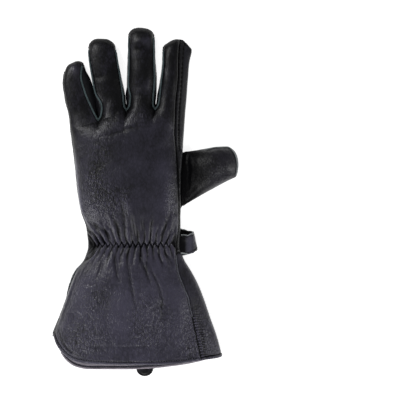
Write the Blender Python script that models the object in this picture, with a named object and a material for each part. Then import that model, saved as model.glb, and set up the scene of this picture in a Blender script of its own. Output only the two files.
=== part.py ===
"""A motorcycle gauntlet glove for the left hand, lying palm down with the fingers pointing along +Y.

Lengths are millimetres, and are turned into metres when a mesh is made. The plan tables are read
from a pattern sheet: "across" is counted from the sheet's left edge towards the thumb, and "down"
from its top edge towards the cuff. SHEET_X and SHEET_Y are where the part's origin lies on it.
"""

import math

import bpy
import numpy as np

MM = 0.001
SHEET_X = 145.25
SHEET_Y = 202.0

LEATHER = 1.3
SEAM_GAP = 0.4
NARROW_SEAM_GAP = 0.8
SEAT_GAP = 0.3
# An edge's corner moves in by no more than this many half gaps
MITER_LIMIT = 2.8

# Columns and rows of the skin's grid
BACK_COLUMNS = 12
FRONT_COLUMNS = 4
SIDE_COLUMNS = 3
THUMB_COLUMNS = 8
FINGER_ROWS = (0, 0.013, 0.05, 0.11, 0.21, 0.4, 0.6, 0.8, 0.93, 1)

# Each finger's edges on the pattern sheet, as (down, across): the edge of the hand's back panel,
# and the finger's side, where it is widest. A tip's round end rises by "tip" over its corners.
FINGERS = (
    dict(
        name="little",
        left_edge=((71, 65), (82, 64), (98, 66), (118, 70.5), (130, 71.5)),
        left_side=((71, 64.4), (82, 63), (98, 65), (118, 69.5), (130, 70.5)),
        right_edge=((63, 82), (75, 80.7), (90, 84), (105, 90), (116, 95), (121.5, 98.2)),
        right_side=((63, 83), (70, 85), (79, 89.3), (90, 92.6), (105, 95.2), (121.5, 98.2)),
        tip=5.5,
        tip_lean=0.25,
        full=16.5,
        wrapped=False,
    ),
    dict(
        name="ring",
        left_edge=((46, 88.6), (60, 90), (78, 93), (92, 95.7), (107, 102.3), (116, 101.5), (121.5, 98.2)),
        left_side=((46, 88), (60, 88.8), (78, 91.8), (90, 93.8), (105, 96.6), (121.5, 98.2)),
        right_edge=((47, 114.6), (62, 117), (78, 119.7), (92, 122), (106, 123.6), (111.5, 126.5)),
        right_side=((47, 115.3), (62, 117.7), (78, 121), (93, 124.2), (104, 125.6), (111.5, 126.5)),
        tip=8.3,
        tip_lean=0.0,
        full=18.5,
        wrapped=False,
    ),
    dict(
        name="middle",
        left_edge=((33, 129.4), (60, 129.5), (85, 129), (97, 130.8), (106, 130), (111.5, 126.5)),
        left_side=((33, 128.4), (50, 128), (70, 127.2), (85, 127), (95, 125.9), (104, 126.8), (111.5, 126.5)),
        right_edge=((34, 153), (60, 153.5), (80, 154), (97, 152.6), (105, 152.3), (110.5, 155.2)),
        right_side=((34, 154), (60, 155), (80, 156.3), (94, 156), (104, 155), (110.5, 155.2)),
        tip=6.2,
        tip_lean=0.0,
        full=19.5,
        wrapped=True,
    ),
    dict(
        name="index",
        left_edge=((46, 164), (60, 164), (80, 162), (95, 160.3), (105, 158.8), (110.5, 155.2)),
        left_side=((46, 162.8), (60, 162.5), (80, 160.3), (94, 157.6), (104, 156.3), (110.5, 155.2)),
        right_edge=((41, 180.5), (48, 179.2), (60, 178.6), (80, 178), (100, 176), (130, 174.6)),
        right_side=((41, 189.8), (48, 190.4), (62, 188.5), (80, 187), (100, 185.5), (118, 184), (130, 183.3)),
        tip=3.6,
        tip_lean=-0.3,
        full=18.5,
        wrapped=True,
    ),
)

# Heights along a finger, from its tip at 0 to its root at 1, as shares of its full height
FINGER_CROWN = ((0, 0.8), (0.15, 0.88), (0.35, 0.95), (0.5, 1.0), (0.7, 0.97), (0.88, 1.04), (1, 1.13))
BACK_SEAM_Z = ((0, 6.8), (0.05, 10.2), (0.12, 11.6), (0.3, 13.0), (0.7, 13.6), (1, 14.4))
FRONT_SEAM_Z = ((0, 6.8), (0.05, 5.2), (0.12, 4.6), (0.3, 4.4), (1, 4.6))
# A tip's end rounds over TIP_ROUND, its bulge dies out over TIP_REACH, and the seams' insets grow in
TIP_ROUND = 9.5
TIP_REACH = 16.0
TIP_FALL = 1.7
TIP_BLUNT = 2.6
INSET_GROWS = 8.0
CROTCH_SHARE = 0.1
# How far the palm side's seams lie inside the fingers' and the hand's sides
FRONT_INSET = 0.7
ULNAR_INSET = 2.6
RADIAL_INSET = 1.5
BACK_INSET = 1.0
# Share of a palm side's width that lies quite flat, and how sharply the rest of it curls up
FLAT_SHARE = 0.55
FINGER_CURL = 2.6
HAND_CURL = 4.5
THUMB_CURL = 2.2
# The palm's ulnar seam: its height on the cuff, and its share of the palm's lift at the wrist
PALM_EDGE_Z = 3.8
PALM_EDGE_LIFT = 0.6
# Rows of a tip that the back panel covers all round, and those that it wraps under to the palm side
CAP_ROWS = 2
TIP_WRAP_ROWS = 4

# The hand and the cuff: how far down, the ulnar side, the back panel's radial seam, the radial side
HAND_PLAN = (
    (130, 70.5, 174.6, 183.3),
    (150, 73.2, 176.3, 182.3),
    (170, 75.5, 177.8, 181.2),
    (190, 77.6, 178.6, 180.6),
    (210, 81.0, 179.0, 180.4),
    (228, 86.8, 179.0, 180.4),
    (245, 88.8, 177.0, 179.6),
    (258, 85.5, 176.4, 183.0),
    (272, 76.4, 178.2, 190.6),
    (285, 71.0, 183.0, 197.0),
    (300, 65.8, 189.0, 203.0),
    (316, 60.0, 194.3, 208.5),
    (336, 52.4, 199.4, 215.6),
    (362, 50.0, 201.6, 222.0),
)
# How far down, the back's height, the palm's lift, and the height of the ulnar and radial back edges
HAND_HEIGHTS = (
    (130, 24.5, 0.0, 12.0, 15.0),
    (150, 27.0, 0.0, 12.5, 16.0),
    (185, 29.5, 0.0, 13.0, 17.0),
    (205, 28.5, 0.8, 13.0, 17.0),
    (222, 26.5, 7.0, 13.5, 17.0),
    (245, 24.0, 7.0, 13.5, 16.5),
    (252, 25.0, 7.0, 13.5, 17.0),
    (266, 28.5, 3.5, 13.0, 19.0),
    (285, 32.0, 0.4, 12.5, 21.0),
    (310, 34.0, 0.0, 12.0, 22.0),
    (340, 34.5, 0.0, 11.5, 22.5),
    (370, 34.5, 0.0, 11.5, 22.5),
)
# Rows below the knuckles: how far down, and the share of the knuckle row that is still blended in
HAND_ROWS = (
    (136, 0.72), (141, 0.42), (146.8, 0.18), (150.6, 0.05), (168, 0), (188, 0),
    (208.6, 0), (216, 0), (222.5, 0), (228.5, 0), (235, 0), (240, 0), (244.5, 0),
    (248.5, 0), (252.5, 0), (258.5, 0), (267, 0), (280, 0), (298, 0),
)
# Rows between the cuff's last straight row and the hems, as shares of the way
CUFF_ROWS = (0.36, 0.74, 1.0)
CUFF_STRAIGHT = 298.0
STRIP_END = 252.5
KNUCKLES = 130.0
HEM_CORNER = 336.0
GUSSET_END = 354.0
# The hems lie this much further down than their corner, where the heights are read
HEM_BELOW = 20.0
# The back is round where the hand fills it, and a lens in the empty cuff
EMPTY_FROM = 246.0
EMPTY_OVER = 50.0
FOLD_FADE = 6.0

# The hems, as (across, down): from the end of the ulnar seam round the corner to the radial side
BACK_HEM = (
    (53.2, 336), (55.4, 342.5), (60.3, 349.5), (67, 355.6), (76, 360.2), (92, 362.6), (120, 363.4),
    (150, 363.6), (178, 362.6), (201.6, 359.6),
)
PALM_HEM = (
    (54.6, 336), (55.6, 344), (59.5, 352), (65.5, 360.5), (74.5, 366.8), (88, 369.6), (120, 369.7),
    (150, 368.6), (178, 365.8), (200, 361.6), (219.5, 355.2),
)

# Folds as ridge lines (valleys, below 0): across, down, to across, to down, half width, height
BACK_FOLDS = (
    (95, 245, 172, 244.5, 2.2, -1.3),
    (141, 256, 150, 279, 3.2, -1.9),
    (150, 279, 159, 294, 3.6, -2.3),
    (159, 294, 163, 330, 4.2, -1.9),
    (128, 262, 131, 280, 2.4, -1.2),
    (131, 280, 136, 302, 2.8, -0.9),
    (115, 262, 120, 276, 2.8, -1.2),
    (113, 287, 104, 312, 7.5, -1.8),
    (86, 285, 80, 315, 8.0, 1.2),
    (149, 292, 151, 325, 6.0, 1.1),
    (125, 290, 122, 330, 8.0, 0.9),
    (112, 134, 147, 125, 3.0, -0.9),
    (101, 150, 98, 205, 9.0, -0.7),
    (164, 160, 166, 215, 7.0, 0.8),
)
PALM_FOLDS = (
    (126, 252, 126, 266, 4.0, 1.4),
    (109, 268, 109, 312, 5.0, 1.8),
    (159, 252, 171, 290, 4.5, 1.8),
    (171, 290, 174, 322, 4.5, 1.4),
    (120, 175, 146, 200, 5.0, 0.9),
)
# The tab lifts the palm's hem: its place as a fold, and the height that the lift stops at
PATCH_LIFT = (145, 353, 145, 376, 17.0, 4.6)
PATCH_LIFT_MOST = 1.9

# The elastic's gathers, ulnar to radial: length and height of the fold above it, and of the one below
GATHER_PITCH = 5.5
GATHER_FIRST = 97.6
GATHER_DOWN = 244.5
GATHER_WIDTH = 1.55
GATHERS = (
    (25, 1.7, 15, 1.5),
    (21, 2.0, 20, 1.8),
    (27, 1.8, 17, 2.0),
    (18, 2.2, 23, 1.7),
    (24, 1.9, 16, 2.1),
    (20, 2.1, 26, 1.9),
    (26, 1.7, 18, 2.2),
    (17, 2.2, 22, 1.8),
    (23, 1.9, 28, 2.1),
    (19, 2.1, 16, 1.9),
    (25, 1.8, 21, 2.0),
    (18, 2.0, 25, 1.8),
    (22, 1.9, 17, 1.9),
    (16, 1.6, 20, 1.5),
)
# How far a gather's fold leans across for each millimetre of its length, at either end of the row
LEAN_ULNAR = -0.62
LEAN_RADIAL = 0.36
GATHER_KNEE = 0.55
GATHER_FROM_ELASTIC = 2.0
GATHER_TAIL_WIDTH = 2.4
GATHER_TAIL_HEIGHT = 0.42

# How far down, and how low the radial side reaches. It stops higher where the thumb comes out.
WINDOW = ((40, 4.6), (146.8, 4.8), (150.6, 12.0), (208.6, 12.0), (216, 7.4), (222, 9.0), (252.5, 9.5),
          (285, 5.0), (370, 4.4))

# The thumb on the pattern sheet, as (across, down), from the tip's corners to the hand
THUMB_UPPER = ((226, 147.2), (217, 146.8), (208, 148.2), (196, 150.2), (183.4, 151.8))
THUMB_LOWER = ((235.3, 177.3), (227, 181.2), (218, 185.8), (206, 192.6), (193, 200), (182.4, 206.4))
THUMB_TIP = 8.2
THUMB_ROWS = (0, 0.016, 0.06, 0.14, 0.28, 0.48, 0.68, 0.84, 0.94, 1)
THUMB_CROWN = ((0, 14.5), (0.15, 17.5), (0.4, 20.0), (0.62, 19.0), (0.82, 14.5), (0.93, 11.6), (1, 11.2))
THUMB_EDGE_Z = ((0, 7.4), (0.5, 8.0), (0.85, 6.4), (1, 5.6))
THUMB_COLLAR = 179.6
THUMB_LEAN = 0.3
# The thumb's base in the palm, from its upper corner round its lower one, and the gusset beside it
BASE_CURL = 5.0
BASE_CURL_WIDE = 9.0
BASE_ROWS = (0.3, 0.65, 1.0)
BASE_DROP = 2.4
GUSSET_ROWS = 8
BASE_UPPER = ((183.4, 151.8), (174, 151), (164.6, 151.4))
BASE_LOWER = ((182.4, 206.4), (178.6, 212.5), (171.5, 219.2), (163.5, 218.2))
BASE_INNER = (
    (164.6, 151.4), (166.5, 163), (166.8, 176), (164.6, 188), (161.6, 198), (161, 208), (163.5, 218.2),
)
GUSSET_LEFT = (
    (162.6, 151.2), (155.5, 157.5), (152.4, 168), (151.8, 184), (154, 199), (156.6, 211), (161.6, 218.6),
)

# The rest of the hole in the palm for them: past the radial seam, and back along the upper edge
HOLE_RADIAL = ((190, 206), (190, 151.5), (183.4, 151.5), (174, 150.9))
HOLE_LOW, HOLE_HIGH = -5.0, 16.0

# The wrist strap: a band across the palm, and a flap from the radial seam that folds back over it
STRAP_THICK = 1.7
STRAP_TOP_Z = 6.65
BAND_ENDS = (93.5, 176.0)
BAND_UPPER = ((93.5, 227.2), (135, 226.4), (176, 225.2))
BAND_LOWER = ((93.5, 247.0), (135, 246.6), (176, 246.0))
FLAP_ROOT = 181.4
FLAP_TURN = 192.0
FLAP_SLANT = 0.275
FLAP_END = 160.0
# The flap's edges along its own length, from the seam at 0 round the fold to its round end at 1
FLAP_UPPER = ((0, 228.0), (0.2, 229.4), (0.35, 230.4), (0.6, 225.0), (1, 225.2))
FLAP_LOWER = ((0, 251.6), (0.1, 254.2), (0.2, 253.4), (0.35, 250.6), (0.6, 247.4), (1, 247.8))
FLAP_ROOT_Z = 12.5
FLAP_MIDDLE = 236.3
FLAP_FOLD_STEPS = 8
FLAP_FOLD_FLAT = 0.8
# The fold slants: it leans out by FLAP_SLANT for each millimetre down, from FLAP_LEANS_FROM on
FLAP_LEANS_FROM = 184.0
FLAP_LEANS_OVER = 12.0
FLAP_LEAN_LEVEL = 238.0
# Its free end is an arc this wide and deep
FLAP_END_HALF = 11.5
FLAP_END_DEEP = 5.0
STUD_AT = (139.0, 236.3)
CAP_AT = (172.0, 235.6)
SNAP_SIDES = 16
# The fittings' profiles: radius, and depth below their seat
STUD_RINGS = ((5.7, 0), (5.7, 0.7), (5.0, 1.2), (2.9, 1.0), (2.5, 1.3), (2.3, 2.5), (1.4, 3.0))
CAP_RINGS = ((6.9, 0), (6.9, 0.5), (6.1, 1.1), (4.4, 1.45), (2.0, 1.6))

# The pull tab under the palm's hem
TAB_ACROSS = 144.5
TAB_DOWN = 352.5
TAB_WIDE = 25.0
TAB_NECK = 369.4
TAB_ROUND = 8.4
TAB_ROUND_DEEP = 7.56
TAB_SHOULDER = 0.1
TAB_SIDES = 12
TAB_THICK = 1.5

# The facing inside the palm's hem: from its lower edge to its upper one, behind the hem's fold
FACING_FROM = 1.2
FACING_DEEP = 9.0
FACING_THICK = 1.0
FACING_GAP = 0.45


def smooth_lookup(rows, at):
    """Reads a two-column table anywhere along its first column, without corners or overshoot."""
    table = np.asarray(rows, float)
    x, y = table[:, 0], table[:, 1]
    secant = np.diff(y) / np.diff(x)
    both = secant[:-1] * secant[1:]
    inside = np.where(both > 0, 2 * both / np.where(both > 0, secant[:-1] + secant[1:], 1), 0)
    slope = np.concatenate([secant[:1], inside, secant[-1:]])
    at = np.clip(at, x[0], x[-1])
    i = np.clip(np.searchsorted(x, at, side="right") - 1, 0, len(x) - 2)
    step = x[i + 1] - x[i]
    s = (at - x[i]) / step
    near = y[i] * (1 + 2 * s) * (1 - s) ** 2 + step * slope[i] * s * (1 - s) ** 2
    far = y[i + 1] * s * s * (3 - 2 * s) + step * slope[i + 1] * s * s * (s - 1)
    return near + far


def straight_lookup(rows, at):
    """Reads a two-column table with straight lines between its rows."""
    table = np.asarray(rows, float)
    return np.interp(at, table[:, 0], table[:, 1])


def along(points, share):
    """Points at the given shares of a smooth line's length."""
    points = np.asarray(points, float)
    length = np.concatenate([[0], np.cumsum(np.linalg.norm(np.diff(points, axis=0), axis=1))])
    at = np.asarray(share, float) * length[-1]
    return np.stack([smooth_lookup(np.column_stack([length, points[:, k]]), at) for k in (0, 1)], axis=-1)


def to_part(points):
    """Pattern-sheet millimetres to the part's own: x towards the thumb, y towards the fingertips."""
    points = np.asarray(points, float)
    return np.column_stack([points[:, 0] - SHEET_X, SHEET_Y - points[:, 1], points[:, 2]])


def column(table, number):
    """One two-column table out of a wider one."""
    return [(row[0], row[number]) for row in table]


def folds(across, down, rows):
    """Height that the ridges and valleys of a table add at each place on the pattern sheet."""
    total = np.zeros(np.broadcast(across, down).shape)
    for x0, y0, x1, y1, width, height in rows:
        run_x, run_y = x1 - x0, y1 - y0
        run = math.hypot(run_x, run_y)
        s = ((across - x0) * run_x + (down - y0) * run_y) / run**2
        near = np.clip(s, 0, 1)
        off = np.hypot(across - x0 - near * run_x, down - y0 - near * run_y)
        total = total + height * np.exp(-((off / width) ** 2))
    return total


def gather_folds():
    """The ridges that fan out above and below the elastic, half a pitch apart."""
    rows = []
    for number, (up_length, up_height, down_length, down_height) in enumerate(GATHERS):
        share = number / (len(GATHERS) - 1)
        lean = LEAN_ULNAR + (LEAN_RADIAL - LEAN_ULNAR) * share
        above = GATHER_FIRST + number * GATHER_PITCH
        below = above + GATHER_PITCH / 2
        sides = (above, -1, up_length, up_height), (below, 1, down_length, down_height)
        for start, way, length, height in sides:
            knee = start + lean * length * GATHER_KNEE, GATHER_DOWN + way * length * GATHER_KNEE
            end = start + lean * length, GATHER_DOWN + way * length
            rows.append((start, GATHER_DOWN + way * GATHER_FROM_ELASTIC, *knee, GATHER_WIDTH, height))
            rows.append((*knee, *end, GATHER_TAIL_WIDTH, height * GATHER_TAIL_HEIGHT))
    return rows


def crown(t, empty=0.0):
    """Cross-section of a back, 1 in the middle and 0 at its edges: round if filled, a lens if empty."""
    return np.maximum(1 - np.abs(t) ** (2.4 - 0.3 * empty), 0) ** (0.6 + 0.22 * empty)


def quarter_round(distance, radius):
    """Rise of a rounded end: 0 at the edge, 1 from one radius on."""
    return math.sqrt(max(0.0, 1 - (1 - min(distance / radius, 1)) ** 2))


def floor_curl(t, power):
    """How much a palm side's edge has curled up from the floor. The middle lies quite flat."""
    return np.clip((np.abs(t) - FLAT_SHARE) / (1 - FLAT_SHARE), 0, 1) ** power


def side_wall(top, bottom, widest, steps):
    """Points between a top and a bottom edge, bulging out to the widest place across."""
    share = np.linspace(0, 1, steps + 1)[1:-1, None]
    wall = top + (bottom - top) * share
    bulge = widest - (top[0] + bottom[0]) / 2
    wall[:, 0] += bulge * 4 * share[:, 0] * (1 - share[:, 0])
    return wall


def finger_section(finger, share):
    """One row of a finger: its back, right side, front and left side, in pattern-sheet millimetres."""
    left_ends = finger["left_edge"][0][0], finger["left_edge"][-1][0]
    right_ends = finger["right_edge"][0][0], finger["right_edge"][-1][0]
    left_down = left_ends[0] + (left_ends[1] - left_ends[0]) * share
    right_down = right_ends[0] + (right_ends[1] - right_ends[0]) * share
    length = left_ends[1] - left_ends[0]
    gone = share * length
    left = smooth_lookup(finger["left_edge"], left_down)
    right = smooth_lookup(finger["right_edge"], right_down)
    left_side = smooth_lookup(finger["left_side"], left_down)
    right_side = smooth_lookup(finger["right_side"], right_down)
    back_z = smooth_lookup(BACK_SEAM_Z, share)
    front_z = smooth_lookup(FRONT_SEAM_Z, share)
    top_z = finger["full"] * smooth_lookup(FINGER_CROWN, share)
    rise = quarter_round(gone, TIP_ROUND)
    reach = max(0.0, 1 - gone / TIP_REACH) ** TIP_FALL

    def tip_shift(t):
        lean = np.clip(1 - np.abs(t + finger["tip_lean"] * (1 - t * t)) ** TIP_BLUNT, 0, 1) ** 0.5
        return -finger["tip"] * reach * lean

    t = np.sin(np.linspace(-1, 1, BACK_COLUMNS + 1) * math.pi / 2)
    mix = (t + 1) / 2
    back = np.stack([
        left + (right - left) * mix,
        left_down + (right_down - left_down) * mix + tip_shift(t),
        back_z + (top_z - back_z) * crown(t) * rise,
    ], axis=1)
    if share == 0:
        front = back.copy()
    else:
        inset = min(1.0, gone / INSET_GROWS)
        crotch = min(1.0, (1 - share) / CROTCH_SHARE)
        left_inset = ULNAR_INSET * inset if finger["name"] == "little" else FRONT_INSET * inset * crotch
        right_inset = RADIAL_INSET * inset if finger["name"] == "index" else FRONT_INSET * inset * crotch
        t = np.sin(np.linspace(-1, 1, FRONT_COLUMNS + 1) * math.pi / 2)
        mix = (t + 1) / 2
        across = left_side + left_inset + (right_side - right_inset - left_side - left_inset) * mix
        front = np.stack([
            across,
            left_down + (right_down - left_down) * mix + tip_shift(t),
            front_z * (1 - (1 - floor_curl(t, FINGER_CURL)) * rise),
        ], axis=1)
    right_wall = side_wall(back[-1], front[-1], right_side, SIDE_COLUMNS)
    left_wall = side_wall(back[0], front[0], left_side, SIDE_COLUMNS)
    return back, right_wall, front, left_wall


def hand_section(down, knuckle_back, knuckle_front, blend):
    """One row of the hand or cuff. Columns follow on from the knuckle rows."""
    columns = len(knuckle_back)
    t = np.linspace(-1, 1, columns)
    y = down * (1 - blend) + knuckle_back[:, 1] * blend
    left = smooth_lookup(column(HAND_PLAN, 1), np.maximum(y, KNUCKLES)) + BACK_INSET
    right = smooth_lookup(column(HAND_PLAN, 2), np.maximum(y, KNUCKLES))
    height, lift, left_z, right_z = (smooth_lookup(column(HAND_HEIGHTS, k), down) for k in (1, 2, 3, 4))
    mix = (t + 1) / 2
    edge_z = left_z + (right_z - left_z) * mix
    empty = min(1.0, max(0.0, (down - EMPTY_FROM) / EMPTY_OVER))
    back = np.stack([left + (right - left) * mix, y, edge_z + (height - edge_z) * crown(t, empty)], axis=1)
    back[:, 0] = back[:, 0] * (1 - blend) + knuckle_back[:, 0] * blend
    back[:, 2] = back[:, 2] * (1 - blend) + knuckle_back[:, 2] * blend
    fade = np.clip((1 - np.abs(t)) * FOLD_FADE, 0, 1)
    back[:, 2] += folds(back[:, 0], back[:, 1], BACK_FOLDS + tuple(gather_folds())) * fade

    t = np.linspace(-1, 1, len(knuckle_front))
    mix = (t + 1) / 2
    y = down * (1 - blend) + knuckle_front[:, 1] * blend
    left_y, right_y = y[0], y[-1]
    left = smooth_lookup(column(HAND_PLAN, 1), max(left_y, KNUCKLES)) + ULNAR_INSET
    right = smooth_lookup(column(HAND_PLAN, 3), max(right_y, KNUCKLES)) - RADIAL_INSET
    edge_z = np.where(t < 0, PALM_EDGE_Z + PALM_EDGE_LIFT * lift, straight_lookup(WINDOW, right_y))
    low_z = lift + (edge_z - lift) * floor_curl(t, HAND_CURL)
    front = np.stack([left + (right - left) * mix, y, low_z], axis=1)
    front[:, 0] = front[:, 0] * (1 - blend) + knuckle_front[:, 0] * blend
    front[1:-1, 2] = front[1:-1, 2] * (1 - blend) + knuckle_front[1:-1, 2] * blend
    front[1:-1, 2] += folds(front[1:-1, 0], front[1:-1, 1], PALM_FOLDS)
    right_wall = side_wall(back[-1], front[-1], smooth_lookup(column(HAND_PLAN, 3), max(right_y, KNUCKLES)),
                           SIDE_COLUMNS)
    left_wall = side_wall(back[0], front[0], smooth_lookup(column(HAND_PLAN, 1), max(left_y, KNUCKLES)),
                          SIDE_COLUMNS)
    return back, right_wall, front, left_wall


class Skin:
    """Outer surface of the glove: shared points, and faces that name the panel they belong to."""

    def __init__(self):
        self.points = []
        self.places = {}
        self.faces = []

    def point(self, place):
        key = tuple(int(round(value * 1000)) for value in place)
        if key not in self.places:
            self.places[key] = len(self.points)
            self.points.append(to_part([place])[0])
        return self.places[key]

    def face(self, panel, corners):
        ring = [self.point(corner) for corner in corners]
        ring = [p for k, p in enumerate(ring) if p != ring[k - 1]]
        if len(set(ring)) > 2:
            self.faces.append((panel, ring))

    def band(self, panel, upper, lower):
        """Faces between two rows of points that run left to right, seen from outside."""
        if len(upper) == len(lower):
            for k in range(len(upper) - 1):
                self.face(panel, (upper[k], lower[k], lower[k + 1], upper[k + 1]))
            return
        step = (len(upper) - 1) // (len(lower) - 1)
        for k in range(len(lower) - 1):
            fine = upper[k * step:(k + 1) * step + 1]
            turn = step // 2
            for i in range(step):
                self.face(panel, (fine[i], lower[k] if i < turn else lower[k + 1], fine[i + 1]))
            self.face(panel, (fine[turn], lower[k], lower[k + 1]))

    def normals(self):
        points = np.array(self.points)
        total = np.zeros_like(points)
        for _, ring in self.faces:
            place = points[ring]
            ahead = np.roll(place, -1, axis=0)
            area = np.cross(place, ahead).sum(axis=0)
            total[ring] += area
        return total / np.maximum(np.linalg.norm(total, axis=1, keepdims=True), 1e-9)


def side_row(top, wall, bottom):
    return np.vstack([top[None], wall, bottom[None]])


def lay_fingers(skin):
    """Adds the four fingers and returns the knuckle rows of the back and of the palm."""
    backs, fronts = [], []
    walls = ("palm_panel", "fourchette_little_ring", "fourchette_ring_middle", "fourchette_middle_index",
             "index_side_strip")
    fronts_of = ("palm_panel", "ring_front", "middle_front", "palm_panel")
    for number, finger in enumerate(FINGERS):
        rows = [finger_section(finger, share) for share in FINGER_ROWS]
        for k in range(len(rows) - 1):
            upper, lower = rows[k], rows[k + 1]
            skin.band("back_panel", upper[0], lower[0])
            capped = k < CAP_ROWS
            wrapped = capped or finger["wrapped"] and k < TIP_WRAP_ROWS
            front_panel = "back_panel" if wrapped else fronts_of[number]
            skin.band(front_panel, upper[2][::-1], lower[2][::-1])
            upper_right = side_row(upper[0][-1], upper[1], upper[2][-1])
            lower_right = side_row(lower[0][-1], lower[1], lower[2][-1])
            skin.band("back_panel" if capped else walls[number + 1], upper_right, lower_right)
            upper_left = side_row(upper[0][0], upper[3], upper[2][0])[::-1]
            lower_left = side_row(lower[0][0], lower[3], lower[2][0])[::-1]
            if capped or number > 0:
                skin.band("back_panel" if capped else walls[number], upper_left, lower_left)
            else:
                lay_ulnar_side(skin, upper_left, lower_left)
        backs.append(rows[-1][0])
        fronts.append(rows[-1][2])
    back = np.vstack([backs[0]] + [row[1:] for row in backs[1:]])
    front = np.vstack([fronts[0]] + [row[1:] for row in fronts[1:]])
    return back, front, rows[-1][1]


def lay_ulnar_side(skin, upper, lower):
    """The ulnar side of the little finger or of the hand. Its lowest column is the palm's."""
    skin.band("palm_panel", upper[:2], lower[:2])
    skin.band("back_panel", upper[1:], lower[1:])


def hem_row(hem, columns):
    return along(hem, np.linspace(0, 1, columns))


def cuff_section(share, straight, back_columns, front_columns):
    """One row of the cuff between its last straight row and the hems."""
    down = CUFF_STRAIGHT + (HEM_CORNER - CUFF_STRAIGHT) * share
    back, _, front, _ = straight
    below = down + HEM_BELOW * share
    height, lift, left_z, right_z = (smooth_lookup(column(HAND_HEIGHTS, k), below) for k in (1, 2, 3, 4))
    t = np.linspace(-1, 1, back_columns)
    hem = hem_row(BACK_HEM, back_columns)
    mix = (t + 1) / 2
    edge_z = left_z + (right_z - left_z) * mix
    row = np.empty((back_columns, 3))
    row[:, :2] = back[:, :2] * (1 - share) + hem * share
    row[:, 2] = edge_z + (height - edge_z) * crown(t, 1)
    fade = np.clip((1 - np.abs(t)) * FOLD_FADE, 0, 1)
    row[:, 2] += folds(row[:, 0], row[:, 1], BACK_FOLDS) * fade
    t = np.linspace(-1, 1, front_columns)
    hem = hem_row(PALM_HEM, front_columns)
    low = np.empty((front_columns, 3))
    low[:, :2] = front[:, :2] * (1 - share) + hem * share
    edge_z = np.where(t < 0, PALM_EDGE_Z, straight_lookup(WINDOW, down))
    low[:, 2] = lift + (edge_z - lift) * floor_curl(t, HAND_CURL)
    low[1:-1, 2] += folds(low[1:-1, 0], low[1:-1, 1], PALM_FOLDS)
    low[1:-1, 2] += np.minimum(folds(low[1:-1, 0], low[1:-1, 1], (PATCH_LIFT,)), PATCH_LIFT_MOST)
    right_side = smooth_lookup(column(HAND_PLAN, 3), CUFF_STRAIGHT + (GUSSET_END - CUFF_STRAIGHT) * share)
    left_side = smooth_lookup(column(HAND_PLAN, 1), down)
    right_wall = side_wall(row[-1], low[-1], right_side, SIDE_COLUMNS)
    left_wall = side_wall(row[0], low[0], left_side, SIDE_COLUMNS)
    return row, right_wall, low, left_wall


def lay_hand(skin, back, front, right_wall):
    """Adds the hand and the cuff below the knuckle rows, down to the hems."""
    little_wall = finger_section(FINGERS[0], 1)[3]
    rows = [(back, right_wall, front, little_wall)]
    rows += [hand_section(down, back, front, blend) for down, blend in HAND_ROWS]
    straight = rows[-1]
    rows += [cuff_section(share, straight, len(back), len(front)) for share in CUFF_ROWS]
    strip_rows = sum(down <= STRIP_END for down, _ in HAND_ROWS)
    for k in range(len(rows) - 1):
        upper, lower = rows[k], rows[k + 1]
        skin.band("back_panel", upper[0], lower[0])
        skin.band("palm_panel", upper[2][::-1], lower[2][::-1])
        right_panel = "index_side_strip" if k < strip_rows else "cuff_gusset"
        skin.band(right_panel, side_row(upper[0][-1], upper[1], upper[2][-1]),
                  side_row(lower[0][-1], lower[1], lower[2][-1]))
        lay_ulnar_side(skin, side_row(upper[0][0], upper[3], upper[2][0])[::-1],
                       side_row(lower[0][0], lower[3], lower[2][0])[::-1])
    return rows


def palm_height(plan):
    """How high the palm side lies at places (across, down), with its radial edge curled up."""
    across, down = plan[:, 0], plan[:, 1]
    lift = smooth_lookup(column(HAND_HEIGHTS, 2), down)
    side = smooth_lookup(column(HAND_PLAN, 3), np.maximum(down, KNUCKLES)) - RADIAL_INSET
    curl = np.clip((across - side) / BASE_CURL_WIDE + 1, 0, 1)
    return lift + (BASE_CURL - np.minimum(lift, BASE_CURL)) * curl**2


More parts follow.
